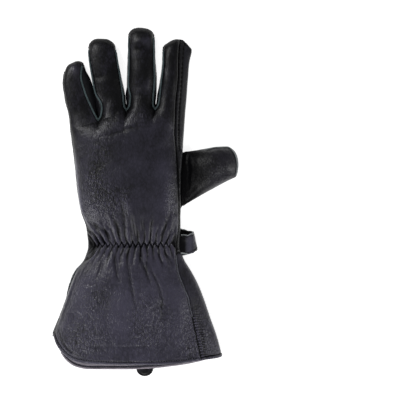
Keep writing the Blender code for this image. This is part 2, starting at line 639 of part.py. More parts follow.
def lay_thumb(skin):
    """The thumb: one tube folded at its lower edge, open at its root, with its base in the palm."""
    upper_line = along(THUMB_UPPER, THUMB_ROWS)
    lower_line = along(THUMB_LOWER, THUMB_ROWS)
    reach_unit = np.array(THUMB_LOWER[0]) - np.array(THUMB_UPPER[0])
    outward = np.array([reach_unit[1], -reach_unit[0]]) / np.linalg.norm(reach_unit)
    length = np.linalg.norm(np.array(THUMB_LOWER[0]) - np.array(THUMB_LOWER[-1]))
    t = np.sin(np.linspace(-1, 1, THUMB_COLUMNS + 1) * math.pi / 2)
    mix = ((t + 1) / 2)[:, None]
    tops, lows = [], []
    for number, share in enumerate(THUMB_ROWS):
        gone = share * length
        rise = quarter_round(gone, TIP_ROUND)
        reach = max(0.0, 1 - gone / TIP_REACH) ** TIP_FALL
        round_end = np.clip(1 - np.abs(t + THUMB_LEAN * (1 - t * t)) ** TIP_BLUNT, 0, 1) ** 0.5
        bulge = THUMB_TIP * reach * round_end
        plan = upper_line[number] + (lower_line[number] - upper_line[number]) * mix + outward * bulge[:, None]
        edge = smooth_lookup(THUMB_EDGE_Z, share)
        top = smooth_lookup(THUMB_CROWN, share)
        tops.append(np.column_stack([plan, edge + (top - edge) * crown(t) * rise]))
        lows.append(np.column_stack([plan, edge * (1 - (1 - floor_curl(t, THUMB_CURL)) * rise)]))
    collar = tops[-1].copy()
    collar[:, 0] = THUMB_COLLAR
    tops.append(collar)
    for k in range(len(tops) - 1):
        skin.band("thumb", tops[k], tops[k + 1])
    for k in range(len(lows) - 1):
        skin.band("thumb", lows[k + 1], lows[k])
    inner = along(BASE_INNER, np.linspace(0, 1, THUMB_COLUMNS + 1))
    upper_side = along(BASE_UPPER, BASE_ROWS)
    lower_side = along(BASE_LOWER, BASE_ROWS)
    start = lows[-1]
    last = start
    for number, share in enumerate(BASE_ROWS):
        plan = start[:, :2] * (1 - share) + inner * share
        plan += (upper_side[number] - plan[0]) * (1 - mix) + (lower_side[number] - plan[-1]) * mix
        keep = max(0.0, 1 - BASE_DROP * share) ** 2
        row = np.column_stack([plan, start[:, 2] * keep + palm_height(plan) * (1 - keep)])
        skin.band("thumb", row, last)
        last = row


def lay_thumb_gusset(skin):
    """The almond-shaped gusset between the palm and the thumb's base."""
    share = np.linspace(0, 1, GUSSET_ROWS + 1)
    left = along(GUSSET_LEFT, share)
    inner = along(BASE_INNER, share)
    for k in range(GUSSET_ROWS):
        upper, lower = ([plan[r] + (edge[r] - plan[r]) * s for s in (0, 0.5, 1)]
                        for plan, edge, r in ((inner, left, k), (inner, left, k + 1)))
        upper = np.column_stack([upper, palm_height(np.array(upper))])
        lower = np.column_stack([lower, palm_height(np.array(lower))])
        skin.band("thumb_gusset", upper, lower)


def edge_insets(points, normals, faces, gap):
    """How far each point on a panel's edge moves into the panel, to leave its half of a seam gap."""
    seen = {}
    for ring in faces:
        for k, start in enumerate(ring):
            seen[start, ring[(k + 1) % len(ring)]] = True
    border = [edge for edge in seen if edge[::-1] not in seen]
    inward = {}
    for start, end in border:
        run = points[end] - points[start]
        side = np.cross(normals[start] + normals[end], run)
        side /= max(np.linalg.norm(side), 1e-9)
        inward.setdefault(start, []).append(side)
        inward.setdefault(end, []).append(side)
    move = np.zeros_like(points)
    for at, sides in inward.items():
        mean = np.mean(sides, axis=0)
        size = max(np.linalg.norm(mean), 0.1)
        move[at] = mean / size * min(1 / size, MITER_LIMIT) * gap / 2
    return border, move


def shell(points, normals, faces, thick, gap):
    """A closed wall under the given faces of the skin."""
    used = sorted({p for ring in faces for p in ring})
    new = {p: k for k, p in enumerate(used)}
    points, normals = points[used], normals[used]
    faces = [[new[p] for p in ring] for ring in faces]
    border, move = edge_insets(points, normals, faces, gap)
    outer = points + move
    inner = outer - normals * thick
    count = len(used)
    walls = [[end, start, start + count, end + count] for start, end in border]
    return np.vstack([outer, inner]), faces + [[p + count for p in ring[::-1]] for ring in faces] + walls


def make_material(name, color, roughness, metallic=0.0):
    material = bpy.data.materials.new(name)
    material.use_nodes = True
    shader = material.node_tree.nodes["Principled BSDF"]
    shader.inputs["Base Color"].default_value = (*color, 1)
    shader.inputs["Roughness"].default_value = roughness
    shader.inputs["Metallic"].default_value = metallic
    return material


def make_object(name, points, faces, material):
    """A mesh object from points in the part's millimetres."""
    mesh = bpy.data.meshes.new(name)
    mesh.from_pydata((np.asarray(points) * MM).tolist(), [], [list(ring) for ring in faces])
    mesh.materials.append(material)
    mesh.shade_smooth()
    mesh.set_sharp_from_angle(angle=math.radians(50))
    mesh.update()
    made = bpy.data.objects.new(name, mesh)
    bpy.context.scene.collection.objects.link(made)
    return made


def prism(outline, low, high):
    """A closed block between two heights. Its outline runs down the ulnar side and back up the radial."""
    count = len(outline)
    points = [(x, y, low) for x, y in outline] + [(x, y, high) for x, y in outline]
    faces = [list(reversed(range(count))), [count + k for k in range(count)]]
    for k in range(count):
        ahead = (k + 1) % count
        faces.append([k, ahead, ahead + count, k + count])
    return to_part(points), faces


def offset_outline(outline, distance):
    """Moves a closed outline outwards, along the mean normal of each corner."""
    outline = np.asarray(outline, float)
    ahead = np.roll(outline, -1, axis=0) - outline
    ahead /= np.linalg.norm(ahead, axis=1, keepdims=True)
    behind = np.roll(ahead, 1, axis=0)
    area = np.sum(outline[:, 0] * np.roll(outline[:, 1], -1) - np.roll(outline[:, 0], -1) * outline[:, 1])
    mean = ahead + behind
    mean /= np.maximum(np.linalg.norm(mean, axis=1, keepdims=True), 1e-9)
    normal = np.column_stack([mean[:, 1], -mean[:, 0]]) * (1 if area > 0 else -1)
    return outline + normal * distance


def thumb_hole():
    """Outline of the opening in the palm that the gusset and the thumb's base fill."""
    left = along(GUSSET_LEFT, np.linspace(0, 1, 15))
    lower = along(BASE_LOWER, np.linspace(0, 1, 8))[::-1]
    outline = np.vstack([left, lower, HOLE_RADIAL])
    return offset_outline(outline, SEAM_GAP)


def cut_thumb_hole(palm):
    points, faces = prism(thumb_hole(), HOLE_LOW, HOLE_HIGH)
    cutter = make_object("thumb_hole_cutter", points, faces, palm.data.materials[0])
    cutter.hide_render = True
    cutter.display_type = "WIRE"
    cut = palm.modifiers.new("thumb_hole", "BOOLEAN")
    cut.operation = "DIFFERENCE"
    cut.solver = "EXACT"
    cut.object = cutter


def ribbon(path, upper, lower, thick):
    """A strap of even thickness along a path of (across, z), between two edge lines down the sheet."""
    path = np.asarray(path, float)
    run = np.gradient(path, axis=0)
    run /= np.linalg.norm(run, axis=1, keepdims=True)
    normal = np.column_stack([-run[:, 1], run[:, 0]])
    points = []
    for k, (x, z) in enumerate(path):
        for side in (0.5, -0.5):
            px, pz = x + normal[k, 0] * thick * side, z + normal[k, 1] * thick * side
            points.append((px, upper[k], pz))
            points.append((px, lower[k], pz))
    faces = [[0, 2, 3, 1]]
    for k in range(len(path) - 1):
        a, b = 4 * k, 4 * k + 4
        faces += [[a, a + 1, b + 1, b], [a + 2, b + 2, b + 3, a + 3]]
        faces += [[a, b, b + 2, a + 2], [a + 1, a + 3, b + 3, b + 1]]
    last = 4 * (len(path) - 1)
    faces.append([last, last + 1, last + 3, last + 2])
    return to_part(points), faces


def make_band(material):
    """The strap's fixed part, lying along the palm side of the wrist."""
    across = np.linspace(*BAND_ENDS, 7)
    z = STRAP_TOP_Z - STRAP_THICK / 2
    path = [(x, z) for x in across]
    upper = smooth_lookup(BAND_UPPER, across)
    points, faces = ribbon(path, upper, smooth_lookup(BAND_LOWER, across), STRAP_THICK)
    return make_object("strap_band", points, faces, material)


def flap_path():
    """The flap's middle line: out from the wrist's radial side, round its fold and back under the band."""
    low = STRAP_TOP_Z - STRAP_THICK * 1.5 - SEAT_GAP
    radius = (FLAP_ROOT_Z - low) / 2
    middle = (FLAP_ROOT_Z + low) / 2
    path = [(FLAP_ROOT, FLAP_ROOT_Z), ((FLAP_ROOT + FLAP_TURN) / 2, FLAP_ROOT_Z)]
    for step in range(FLAP_FOLD_STEPS + 1):
        angle = math.pi / 2 - math.pi * step / FLAP_FOLD_STEPS
        out = radius * FLAP_FOLD_FLAT * math.cos(angle)
        path.append((FLAP_TURN + out, middle + radius * math.sin(angle)))
    path += [(x, low) for x in np.linspace(FLAP_LEANS_FROM, FLAP_END, 5)]
    return path


def make_flap(material):
    """The strap's free part, fastened back over the band."""
    path = flap_path()
    steps = np.linalg.norm(np.diff(np.array(path), axis=0), axis=1)
    share = np.concatenate([[0], np.cumsum(steps)]) / steps.sum()
    upper = smooth_lookup(FLAP_UPPER, share)
    lower = smooth_lookup(FLAP_LOWER, share)
    points, faces = ribbon(path, upper, lower, STRAP_THICK)
    made = make_object("strap_flap", points, faces, material)
    for vertex in made.data.vertices:
        x, y = vertex.co.x / MM + SHEET_X, SHEET_Y - vertex.co.y / MM
        beyond = max(0.0, min((x - FLAP_LEANS_FROM) / FLAP_LEANS_OVER, 1))
        vertex.co.x += (y - FLAP_LEAN_LEVEL) * FLAP_SLANT * beyond * MM
        if x < FLAP_END + 0.5:
            arc = math.sqrt(max(0.0, 1 - ((y - FLAP_MIDDLE) / FLAP_END_HALF) ** 2))
            vertex.co.x += (1 - arc) * FLAP_END_DEEP * MM
    return made


def turned(name, at, seat, rings, material):
    """A round fitting that hangs from its seat, with its rings listed downwards."""
    points = []
    for radius, depth in rings:
        for k in range(SNAP_SIDES):
            angle = 2 * math.pi * k / SNAP_SIDES
            points.append((at[0] + radius * math.cos(angle), at[1] - radius * math.sin(angle), seat - depth))
    faces = [list(range(SNAP_SIDES))]
    for ring in range(len(rings) - 1):
        for k in range(SNAP_SIDES):
            a, b = ring * SNAP_SIDES + k, ring * SNAP_SIDES + (k + 1) % SNAP_SIDES
            faces.append([a, a + SNAP_SIDES, b + SNAP_SIDES, b])
    last = (len(rings) - 1) * SNAP_SIDES
    faces.append([last + k for k in reversed(range(SNAP_SIDES))])
    return make_object(name, to_part(points), faces, material)


def make_snaps(silver, dark):
    """The open stud on the band, and the cap of the closed snap on the flap."""
    under_band = STRAP_TOP_Z - STRAP_THICK - SEAT_GAP
    turned("snap_stud", STUD_AT, under_band, STUD_RINGS, silver)
    turned("snap_cap", CAP_AT, under_band - STRAP_THICK - SEAT_GAP, CAP_RINGS, dark)


def make_pull_tab(material):
    """The patch under the palm's hem, with a half-round tongue that reaches past it."""
    half = TAB_WIDE / 2
    outline = [(TAB_ACROSS - half, TAB_DOWN), (TAB_ACROSS - half, TAB_NECK)]
    for step in range(TAB_SIDES + 1):
        angle = math.pi - math.pi * step / TAB_SIDES
        outline.append((TAB_ACROSS + TAB_ROUND * math.cos(angle),
                        TAB_NECK + TAB_SHOULDER + TAB_ROUND_DEEP * math.sin(angle)))
    outline += [(TAB_ACROSS + half, TAB_NECK), (TAB_ACROSS + half, TAB_DOWN)]
    points, faces = prism(outline, 0, TAB_THICK)
    return make_object("pull_tab", points, faces, material)


def make_facing(rows, material):
    """The strip of lining that shows inside the palm's hem."""
    hem, above = rows[-1][2], rows[-2][2]
    keep = slice(2, -2)
    hem, above = hem[keep], above[keep]
    run = above[:, :2] - hem[:, :2]
    run /= np.linalg.norm(run, axis=1, keepdims=True)
    grid = []
    for deep in (FACING_FROM, FACING_DEEP):
        plan = hem[:, :2] + run * deep
        share = deep / np.linalg.norm(above[:, :2] - hem[:, :2], axis=1)
        z = hem[:, 2] + (above[:, 2] - hem[:, 2]) * share
        grid.append(np.column_stack([plan, z + LEATHER + FACING_GAP]))
    skin = Skin()
    skin.band("hem_facing", grid[1], grid[0])
    points = np.array(skin.points)
    count = len(points)
    raised = points + (0, 0, FACING_THICK)
    faces = [ring for _, ring in skin.faces]
    border, _ = edge_insets(points, skin.normals(), faces, 0)
    walls = [[end, start, start + count, end + count] for start, end in border]
    return make_object("hem_facing", np.vstack([raised, points]),
                       faces + [[p + count for p in ring[::-1]] for ring in faces] + walls, material)


def make_panels(skin, materials):
    """One closed wall for each panel named on the skin."""
    points, normals = np.array(skin.points), skin.normals()
    made = {}
    for panel in sorted({panel for panel, _ in skin.faces}):
        faces = [ring for name, ring in skin.faces if name == panel]
        narrow = panel.startswith(("fourchette", "index_side"))
        wall, rings = shell(points, normals, faces, LEATHER, NARROW_SEAM_GAP if narrow else SEAM_GAP)
        made[panel] = make_object(panel, wall, rings, materials.get(panel, materials["leather"]))
    return made


def main():
    for old in list(bpy.data.objects):
        bpy.data.objects.remove(old, do_unlink=True)
    black = make_material("black_leather", (0.030, 0.030, 0.040), 0.48)
    palm_black = make_material("palm_leather", (0.024, 0.024, 0.030), 0.52)
    strap_black = make_material("strap_leather", (0.026, 0.028, 0.038), 0.45)
    lining = make_material("lining", (0.16, 0.14, 0.18), 0.85)
    silver = make_material("snap_metal", (0.62, 0.63, 0.64), 0.25, 1.0)
    cap = make_material("cap_enamel", (0.022, 0.022, 0.026), 0.4, 0.2)

    skin = Skin()
    back, front, right_wall = lay_fingers(skin)
    rows = lay_hand(skin, back, front, right_wall)
    panels = make_panels(skin, {"leather": black, "palm_panel": palm_black, "ring_front": palm_black,
                                "middle_front": palm_black})
    cut_thumb_hole(panels["palm_panel"])
    for lay in (lay_thumb, lay_thumb_gusset):
        piece = Skin()
        lay(piece)
        make_panels(piece, {"leather": palm_black})
    make_facing(rows, lining)
    make_band(strap_black)
    make_flap(strap_black)
    make_snaps(silver, cap)
    make_pull_tab(strap_black)


main()
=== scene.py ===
"""Looks of a black leather gauntlet glove for the left hand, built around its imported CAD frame.

Shapes are worked out in millimetres on a pattern sheet, across from its left edge towards the
thumb and down from its top edge towards the cuff, with heights up from the floor. They are turned
into the frame's metres at the end. The little finger's side of the glove is called ulnar, and the
index finger's side radial.
"""

import math

import bpy
import numpy as np
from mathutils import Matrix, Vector


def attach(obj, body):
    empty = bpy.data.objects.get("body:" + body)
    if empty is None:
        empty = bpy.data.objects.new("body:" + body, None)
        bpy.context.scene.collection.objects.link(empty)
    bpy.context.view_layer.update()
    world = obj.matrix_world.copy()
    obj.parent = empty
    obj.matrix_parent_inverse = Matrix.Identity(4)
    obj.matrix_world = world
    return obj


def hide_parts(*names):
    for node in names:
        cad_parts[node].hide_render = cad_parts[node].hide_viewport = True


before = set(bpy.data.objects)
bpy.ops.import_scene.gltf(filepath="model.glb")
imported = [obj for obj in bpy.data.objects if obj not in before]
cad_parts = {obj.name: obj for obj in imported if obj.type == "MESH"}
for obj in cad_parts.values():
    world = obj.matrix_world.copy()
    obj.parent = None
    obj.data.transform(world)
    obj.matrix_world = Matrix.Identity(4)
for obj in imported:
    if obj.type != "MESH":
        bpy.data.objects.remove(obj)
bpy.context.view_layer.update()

MM = 0.001
SHEET_X = 145.25
SHEET_Y = 202.0
LEATHER = 1.3
PANEL_GAP = 0.3
FLOOR_Z = 0.02
INNER_FLOOR_Z = 0.9
FAR_AWAY = 1e9
# Points on the same step, at this many steps to the millimetre, are one point
STEPS_PER_MM = 500
UP = np.array([0.0, 0.0, 1.0])

# Columns and rows of the grids
BACK_COLUMNS = 30
FRONT_COLUMNS = 20
SIDE_COLUMNS = 12
ULNAR_PALM = 4
STRIP_COLUMNS = 26
THUMB_COLUMNS = 44
THUMB_ROWS = 44
BASE_ROWS = 14
GUSSET_ROWS = 60
GUSSET_COLUMNS = 15
FINGER_PITCH = 1.2
TIP_STEPS = (0, 0.12, 0.4, 0.9, 1.6, 2.5, 3.5, 4.6, 5.8, 7.0, 8.2, 9.4, 10.6, 11.8, 13.0, 14.4, 15.8, 17.0)

# Fingers: the back's edges and the sides' widest places as (down, across), how far the tip stands
# out and leans, the height, and whether the back's leather wraps round the fingertip
FINGERS = (
    dict(
        name="little", tip=5.5, tip_lean=0.25, full=16.5, wrapped=False,
        left_edge=((71, 65), (82, 64), (98, 66), (118, 70.5), (130, 71.5)),
        left_side=((71, 64.4), (82, 63), (98, 65), (118, 69.5), (130, 70.5)),
        right_edge=((63, 82), (75, 80.7), (90, 84), (105, 90), (116, 95), (121.5, 98.2)),
        right_side=((63, 83), (70, 85), (79, 89.3), (90, 92.6), (105, 95.2), (121.5, 98.2)),
    ),
    dict(
        name="ring", tip=8.3, tip_lean=0.0, full=18.5, wrapped=False,
        left_edge=((46, 88.6), (60, 90), (78, 93), (92, 95.7), (107, 102.3), (116, 101.5), (121.5, 98.2)),
        left_side=((46, 88), (60, 88.8), (78, 91.8), (90, 93.8), (105, 96.6), (121.5, 98.2)),
        right_edge=((47, 114.6), (62, 117), (78, 119.7), (92, 122), (106, 123.6), (111.5, 126.5)),
        right_side=((47, 115.3), (62, 117.7), (78, 121), (93, 124.2), (104, 125.6), (111.5, 126.5)),
    ),
    dict(
        name="middle", tip=6.2, tip_lean=0.0, full=19.5, wrapped=True,
        left_edge=((33, 129.4), (60, 129.5), (85, 129), (97, 130.8), (106, 130), (111.5, 126.5)),
        left_side=((33, 128.4), (50, 128), (70, 127.2), (85, 127), (95, 125.9), (104, 126.8), (111.5, 126.5)),
        right_edge=((34, 153), (60, 153.5), (80, 154), (97, 152.6), (105, 152.3), (110.5, 155.2)),
        right_side=((34, 154), (60, 155), (80, 156.3), (94, 156), (104, 155), (110.5, 155.2)),
    ),
    dict(
        name="index", tip=3.6, tip_lean=-0.3, full=18.5, wrapped=True,
        left_edge=((46, 164), (60, 164), (80, 162), (95, 160.3), (105, 158.8), (110.5, 155.2)),
        left_side=((46, 162.8), (60, 162.5), (80, 160.3), (94, 157.6), (104, 156.3), (110.5, 155.2)),
        right_edge=((41, 180.5), (48, 179.2), (60, 178.6), (80, 178), (100, 176), (130, 174.6)),
        right_side=((41, 184.5), (45, 187.6), (49.5, 190.6), (62, 188.5), (80, 187), (100, 185.5), (118, 184),
                    (130, 183.3)),
    ),
)
# Heights along a finger, as (share of its length, height) or a share of its full height
FINGER_CROWN = ((0, 0.8), (0.15, 0.88), (0.35, 0.95), (0.5, 1.0), (0.7, 0.97), (0.88, 1.04), (1, 1.13))
BACK_SEAM_Z = ((0, 6.8), (0.05, 10.2), (0.12, 11.6), (0.3, 13.0), (0.7, 13.6), (1, 14.4))
FRONT_SEAM_Z = ((0, 6.8), (0.05, 5.2), (0.12, 4.6), (0.3, 4.4), (1, 4.6))
TIP_ROUND = 9.5
TIP_REACH = 16.0
# How far the palm side's edges stay inside the widest place
FRONT_INSET = 0.7
ULNAR_INSET = 2.6
RADIAL_INSET = 1.5
BACK_INSET = 1.0
FLAT_SHARE = 0.55
# Shares of a finger's length: end of the cap that the back covers, and of the wrapped tips
CAP_SHARE = 0.05
WRAP_SHARE = 0.21
KNUCKLES = 130.0

# Down the hand and cuff: ulnar side, radial edge of the back, radial side
HAND_PLAN = (
    (130, 70.5, 174.6, 183.3), (150, 73.2, 176.3, 182.3), (170, 75.5, 177.8, 181.2),
    (190, 77.6, 178.6, 180.6), (210, 81, 179, 180.4), (228, 86.8, 179, 180.4), (245, 88.8, 177, 179.6),
    (258, 85.5, 176.4, 183), (272, 76.4, 178.2, 190.6), (285, 71, 183, 197), (300, 65.8, 189, 203),
    (316, 60, 194.3, 208.5), (336, 52.4, 199.4, 215.6), (362, 50, 201.6, 222),
)
# Down the hand and cuff: height, lift of the palm, and heights of the back's ulnar and radial edges
HAND_HEIGHTS = (
    (130, 24.5, 0, 12, 15), (150, 27, 0, 12.5, 16), (185, 29.5, 0, 13, 17), (195, 29.1, 0.5, 13, 17),
    (205, 28.5, 2.2, 13, 17), (214, 27.6, 4.8, 13.3, 17), (224, 26.3, 7, 13.5, 17), (245, 24, 7, 13.5, 16.5),
    (252, 25, 7, 13.5, 17), (266, 28.5, 3.5, 13, 19), (285, 32, 0.4, 12.5, 21), (310, 34, 0, 12, 22),
    (340, 34.5, 0, 11.5, 22.5), (370, 34.5, 0, 11.5, 22.5),
)
# How far down, and how much of the knuckle row's curve is left in a row
BLEND = (
    (130, 1), (136, 0.72), (141, 0.42), (146.8, 0.18), (150.6, 0.05), (158, 0), (300, 0),
)
# The valleys between the fingers' backs fade sooner than the knuckle row's plan
VALLEY_POWER = 2.4
ULNAR_EDGE_Z = 3.8
LIFTED_EDGE = 0.6
PALM_CURL = 4.5
# Where the filled hand begins to give way to the empty cuff, and over what length
EMPTY_FROM = 246
EMPTY_OVER = 50
# How much further down the cuff's heights are read at its hems
HEM_AHEAD = 20
STRIP_END = 252.5
CUFF_STRAIGHT = 298.0
# Stretches of the hand with the number of rows in each
HAND_ROWS = ((KNUCKLES, 152, 32), (152, 228, 62), (228, STRIP_END, 38), (STRIP_END, 268, 22),
             (268, CUFF_STRAIGHT, 26))
# The same for the cuff below, in shares of its length. Its last rows lie close together, for the hems
HEM_ROWS = 13
CUFF_ROWS = ((0, 0.92, 55), (0.92, 1, HEM_ROWS - 1))
HEM_CORNER = 336.0
GUSSET_CORNER = 354
# The hems, (across, down) from the ulnar to the radial side
BACK_HEM = (
    (53.2, 336), (55.4, 342.5), (60.3, 349.5), (67, 355.6), (76, 360.2), (92, 362.6), (120, 363.4),
    (150, 363.6), (178, 362.6), (201.6, 359.6),
)
PALM_HEM = (
    (54.6, 336), (55.6, 344), (59.5, 352), (65.5, 360.5), (74.5, 366.8), (88, 369.6), (120, 369.7),
    (150, 368.6), (178, 365.8), (200, 361.6), (219.5, 355.2),
)
# Down the glove: height of the palm side's radial edge, raised where the thumb comes out
WINDOW = (
    (40, 4.6), (146.8, 4.8), (150.6, 12), (208.6, 12), (216, 7.4), (222, 9), (252.5, 9.5), (285, 5),
    (370, 4.4),
)
# Where the pull tab lifts the palm's hem: across, down, reach, height and the most that shows
TAB_LIFT = (145, 353, 17, 4.6, 1.9)

# The thumb's edges, (across, down) from tip to root, and its heights by share of its length
THUMB_UPPER = ((226, 147.2), (217, 146.8), (208, 148.2), (196, 150.2), (183.4, 151.8))
THUMB_LOWER = ((235.3, 177.3), (227, 181.2), (218, 185.8), (206, 192.6), (193, 200), (182.4, 206.4))
THUMB_TIP = 8.2
THUMB_CROWN = ((0, 14.5), (0.15, 17.5), (0.4, 20.0), (0.62, 19.0), (0.82, 14.5), (0.93, 11.6), (1, 11.2))
THUMB_EDGE_Z = ((0, 7.4), (0.5, 8.0), (0.85, 6.4), (1, 5.6))
THUMB_COLLAR = 179.6
# The thumb's base in the palm, and the almond-shaped gusset beside it. Near the palm's radial edge both
# curl up, over a width
BASE_CURL = 5.0
BASE_CURL_WIDE = 9
BASE_UPPER = ((183.4, 151.8), (174, 151), (164.6, 151.4))
BASE_LOWER = ((182.4, 206.4), (178.6, 212.5), (171.5, 219.2), (163.5, 218.2))
BASE_INNER = (
    (164.6, 151.4), (166.5, 163), (166.8, 176), (164.6, 188), (161.6, 198), (161, 208), (163.5, 218.2),
)
GUSSET_LEFT = (
    (162.6, 151.2), (155.5, 157.5), (152.4, 168), (151.8, 184), (154, 199), (156.6, 211), (161.6, 218.6),
)
# The groove down the index side strip
STRIP_LINE = ((184.2, 44), (182.6, 60), (181.4, 80), (180.0, 100), (178.8, 118), (178.6, 132), (178.8, 150))

# Folds: half width, height of the ridge (below 0 a valley), step that raises its lighter side, and the
# points of its course, across and down
BACK_FOLDS = (
    (2.2, -1, 0, 95, 245, 172, 244.5), (1.9, -1.7, -0.5, 138.9, 250, 143, 263, 148.5, 277, 151, 284),
    (1.7, -1.3, -0.7, 147, 261.5, 154, 275, 159.5, 289, 162, 300, 162.5, 322),
    (1.5, -1.3, 0.4, 127.9, 250, 129.3, 267, 131.3, 280, 135, 296, 137, 310),
    (1.2, -0.7, 0.3, 129.3, 283, 133.4, 294, 137, 306),
    (1.7, -1.4, 0.4, 113.4, 248, 116.2, 261, 117.6, 271, 120.3, 280),
    (1.4, -0.9, 0.4, 163.7, 248, 169.2, 257.4, 173.3, 265),
    (1.5, -0.9, 0.4, 156.8, 250, 162.3, 260, 167.8, 268), (2.2, -0.9, 0.5, 96, 258, 90, 268, 84, 276),
    (1.8, -0.8, 0.4, 104, 258, 101, 270, 98, 280),
    (1.2, -1.7, 0.7, 88, 228, 95, 236, 99.5, 244, 95, 252, 88, 259),
    (1, -1.5, 0.7, 87.6, 233, 92.5, 239, 95.6, 244.4, 92.5, 250, 87.6, 256),
    (0.9, -1.2, 0.6, 88.4, 238, 90.6, 241, 92.2, 244.6, 90.6, 248.4, 88.4, 251.6),
    (7.5, -1, 0.3, 113, 285, 108, 298, 103, 314), (8, 1.2, 0, 86, 282, 83, 300, 80, 318),
    (6, 1.2, 0, 149, 290, 150, 306, 151, 326), (8, 0.9, 0, 125, 288, 123, 308, 122, 332),
    (6.5, 0.9, 0, 172, 284, 180, 306, 184, 332), (1.6, -0.35, 0.25, 92, 344, 120, 345, 150, 344, 170, 343),
    (2.2, -0.6, 0.4, 103, 136, 115, 133, 130, 128, 146, 125), (9, -0.6, 0, 101, 150, 97, 178, 99, 206),
    (7, 0.9, 0, 164, 158, 167, 186, 166, 216), (2.8, 1.3, 0, 127, 196, 129, 206, 131, 218, 132, 230),
    (1.9, -1.5, 0.6, 114.1, 217, 119.6, 231, 123.8, 241), (1.6, -1.5, 0.5, 132, 212, 134.8, 231, 136.1, 242),
    (1.5, -1.4, 0.6, 92, 223, 103, 228.5, 110, 235.4, 113.4, 243),
    (1.3, -1, 0.5, 96.3, 230, 103, 238, 107.3, 245),
    (1.5, -0.9, 0.5, 122, 198, 124, 212, 126.5, 226, 127, 238), (2, 0.8, 0.3, 107, 212, 112, 222, 117, 234),
    (1.6, -1.2, -0.5, 170.5, 212, 165, 228, 159.5, 240), (1.3, -1, -0.5, 174.7, 229, 167.8, 239, 163.7, 245),
    (1.5, -0.8, -0.4, 153, 214, 151, 226, 149.5, 238), (1.2, -0.8, 0.3, 142, 218, 143, 230, 143.5, 240),
    (1.6, -0.9, 0.5, 82, 262, 88, 258, 95, 252),
    (1.1, 1, 0.3, 74.5, 146, 76.3, 170, 78.6, 190, 81.4, 206, 86, 218, 92, 228, 99, 238),
    (1.1, -1.7, 0.6, 59.5, 330, 61, 336, 64.5, 343, 69.5, 348.6, 76, 353, 86, 356),
    (1.1, 1.2, 0, 56.8, 330, 58.4, 338, 62.5, 345.5, 68.6, 351.6, 76, 356),
    (0.9, -0.7, 0, 73, 150, 74.6, 170, 76.8, 190, 79.6, 206, 84.5, 219),
    (1.2, 0.9, 0.3, 87, 256, 79, 268, 73.5, 282, 68, 298, 62, 314, 57, 328),
)
FINGER_FOLDS = (
    (4, -0.7, 0.3, 92, 72, 98, 76, 106, 74), (2.4, 0.8, 0, 134, 43, 142, 40, 150, 44),
    (2.4, -0.7, 0.3, 134, 50, 142, 47, 149, 51), (2.6, 0.5, 0.3, 136, 92, 146, 90, 150, 78),
    (3.2, 0.3, 0, 104, 118, 110, 106, 113, 98), (2.6, -0.3, 0.2, 112, 122, 116, 110, 118, 104),
    (2.8, 0.3, 0.2, 128, 122, 134, 114, 137, 104), (2.6, -0.3, 0.1, 146, 118, 150, 112),
    (3.6, 0.3, 0, 166, 120, 166, 104, 168, 90), (2.6, 0.5, 0, 70, 64, 76, 70, 79, 78),
    (0.7, -0.9, 0, 179.3, 48, 179.8, 42, 180.2, 37), (0.7, -0.7, 0, 184.4, 48, 184.3, 43, 183.4, 38),
)
PALM_FOLDS = (
    (3.2, -1.4, 0.4, 126, 250, 126, 270, 127, 300, 128, 336),
    (3.6, -1.4, 0.5, 109, 252, 108, 276, 106, 300, 104, 338),
    (3.4, -1.3, -0.4, 142, 250, 146, 276, 149, 304, 150, 340),
    (3.4, -1.3, -0.5, 159, 250, 167, 275, 173, 300, 178, 336), (2.4, 0.8, 0.4, 118, 250, 118, 275, 117, 312),
    (2.2, 0.8, 0.4, 134, 250, 137, 276, 139, 312), (2.4, 0.8, 0.4, 150, 250, 157, 280, 162, 318),
    (2.4, -0.9, 0.4, 99, 252, 95, 272, 86, 300), (2.2, -0.8, -0.4, 168, 250, 176, 266, 186, 292),
    (1.8, -0.9, 0.4, 112, 224, 111, 212, 108, 198), (2, -0.9, 0.4, 128, 224, 127, 208, 122, 190, 115, 176),
    (1.8, -1, -0.4, 142, 224, 143, 210, 142, 196), (4.2, 0.9, 0.4, 120, 175, 134, 186, 146, 200),
    (3, 0.9, 0.6, 124, 146, 140, 152, 150, 166, 149, 190), (2.6, 0.8, 0.5, 108, 160, 119, 176, 122, 200),
    (2.4, -0.7, 0.5, 84, 140, 104, 148, 128, 143, 150, 136, 170, 134),
    (1.8, -0.9, 0.5, 152, 140, 146, 150, 146, 168),
)
THUMB_FOLDS = (
    (3, -0.8, 0, 187, 158, 188, 176, 186, 194), (2.2, 0.5, 0.2, 190, 158, 192, 168, 190, 180),
    (1.4, 0.5, 0, 184, 164, 192, 163), (1.2, -0.5, 0, 185, 172, 191, 174),
    (3, 0.5, 0, 206, 196, 214, 188, 224, 182),
)
# Where the light catches the rolled edge below the little finger
EDGE_SHINE = (
    (1.3, 1, 0, 75.3, 150, 77, 170, 79.1, 190, 82.3, 208, 86.8, 221, 91, 229),
)
# The elastic's gathers, ulnar to radial: length and height of the fold above it, and of the one below
GATHERS = (
    (25, 1.7, 15, 1.5), (21, 2, 20, 1.8), (27, 1.8, 17, 2), (18, 2.2, 23, 1.7), (24, 1.9, 16, 2.1),
    (20, 2.1, 26, 1.9), (26, 1.7, 18, 2.2), (17, 2.2, 22, 1.8), (23, 1.9, 28, 2.1), (19, 2.1, 16, 1.9),
    (25, 1.8, 21, 2), (18, 2, 25, 1.8), (22, 1.9, 17, 1.9), (16, 1.6, 20, 1.5),
)
GATHER_PITCH = 5.5
GATHER_FIRST = 97.6
GATHER_DOWN = 244.5
LEAN_ULNAR = -0.62
LEAN_RADIAL = 0.36
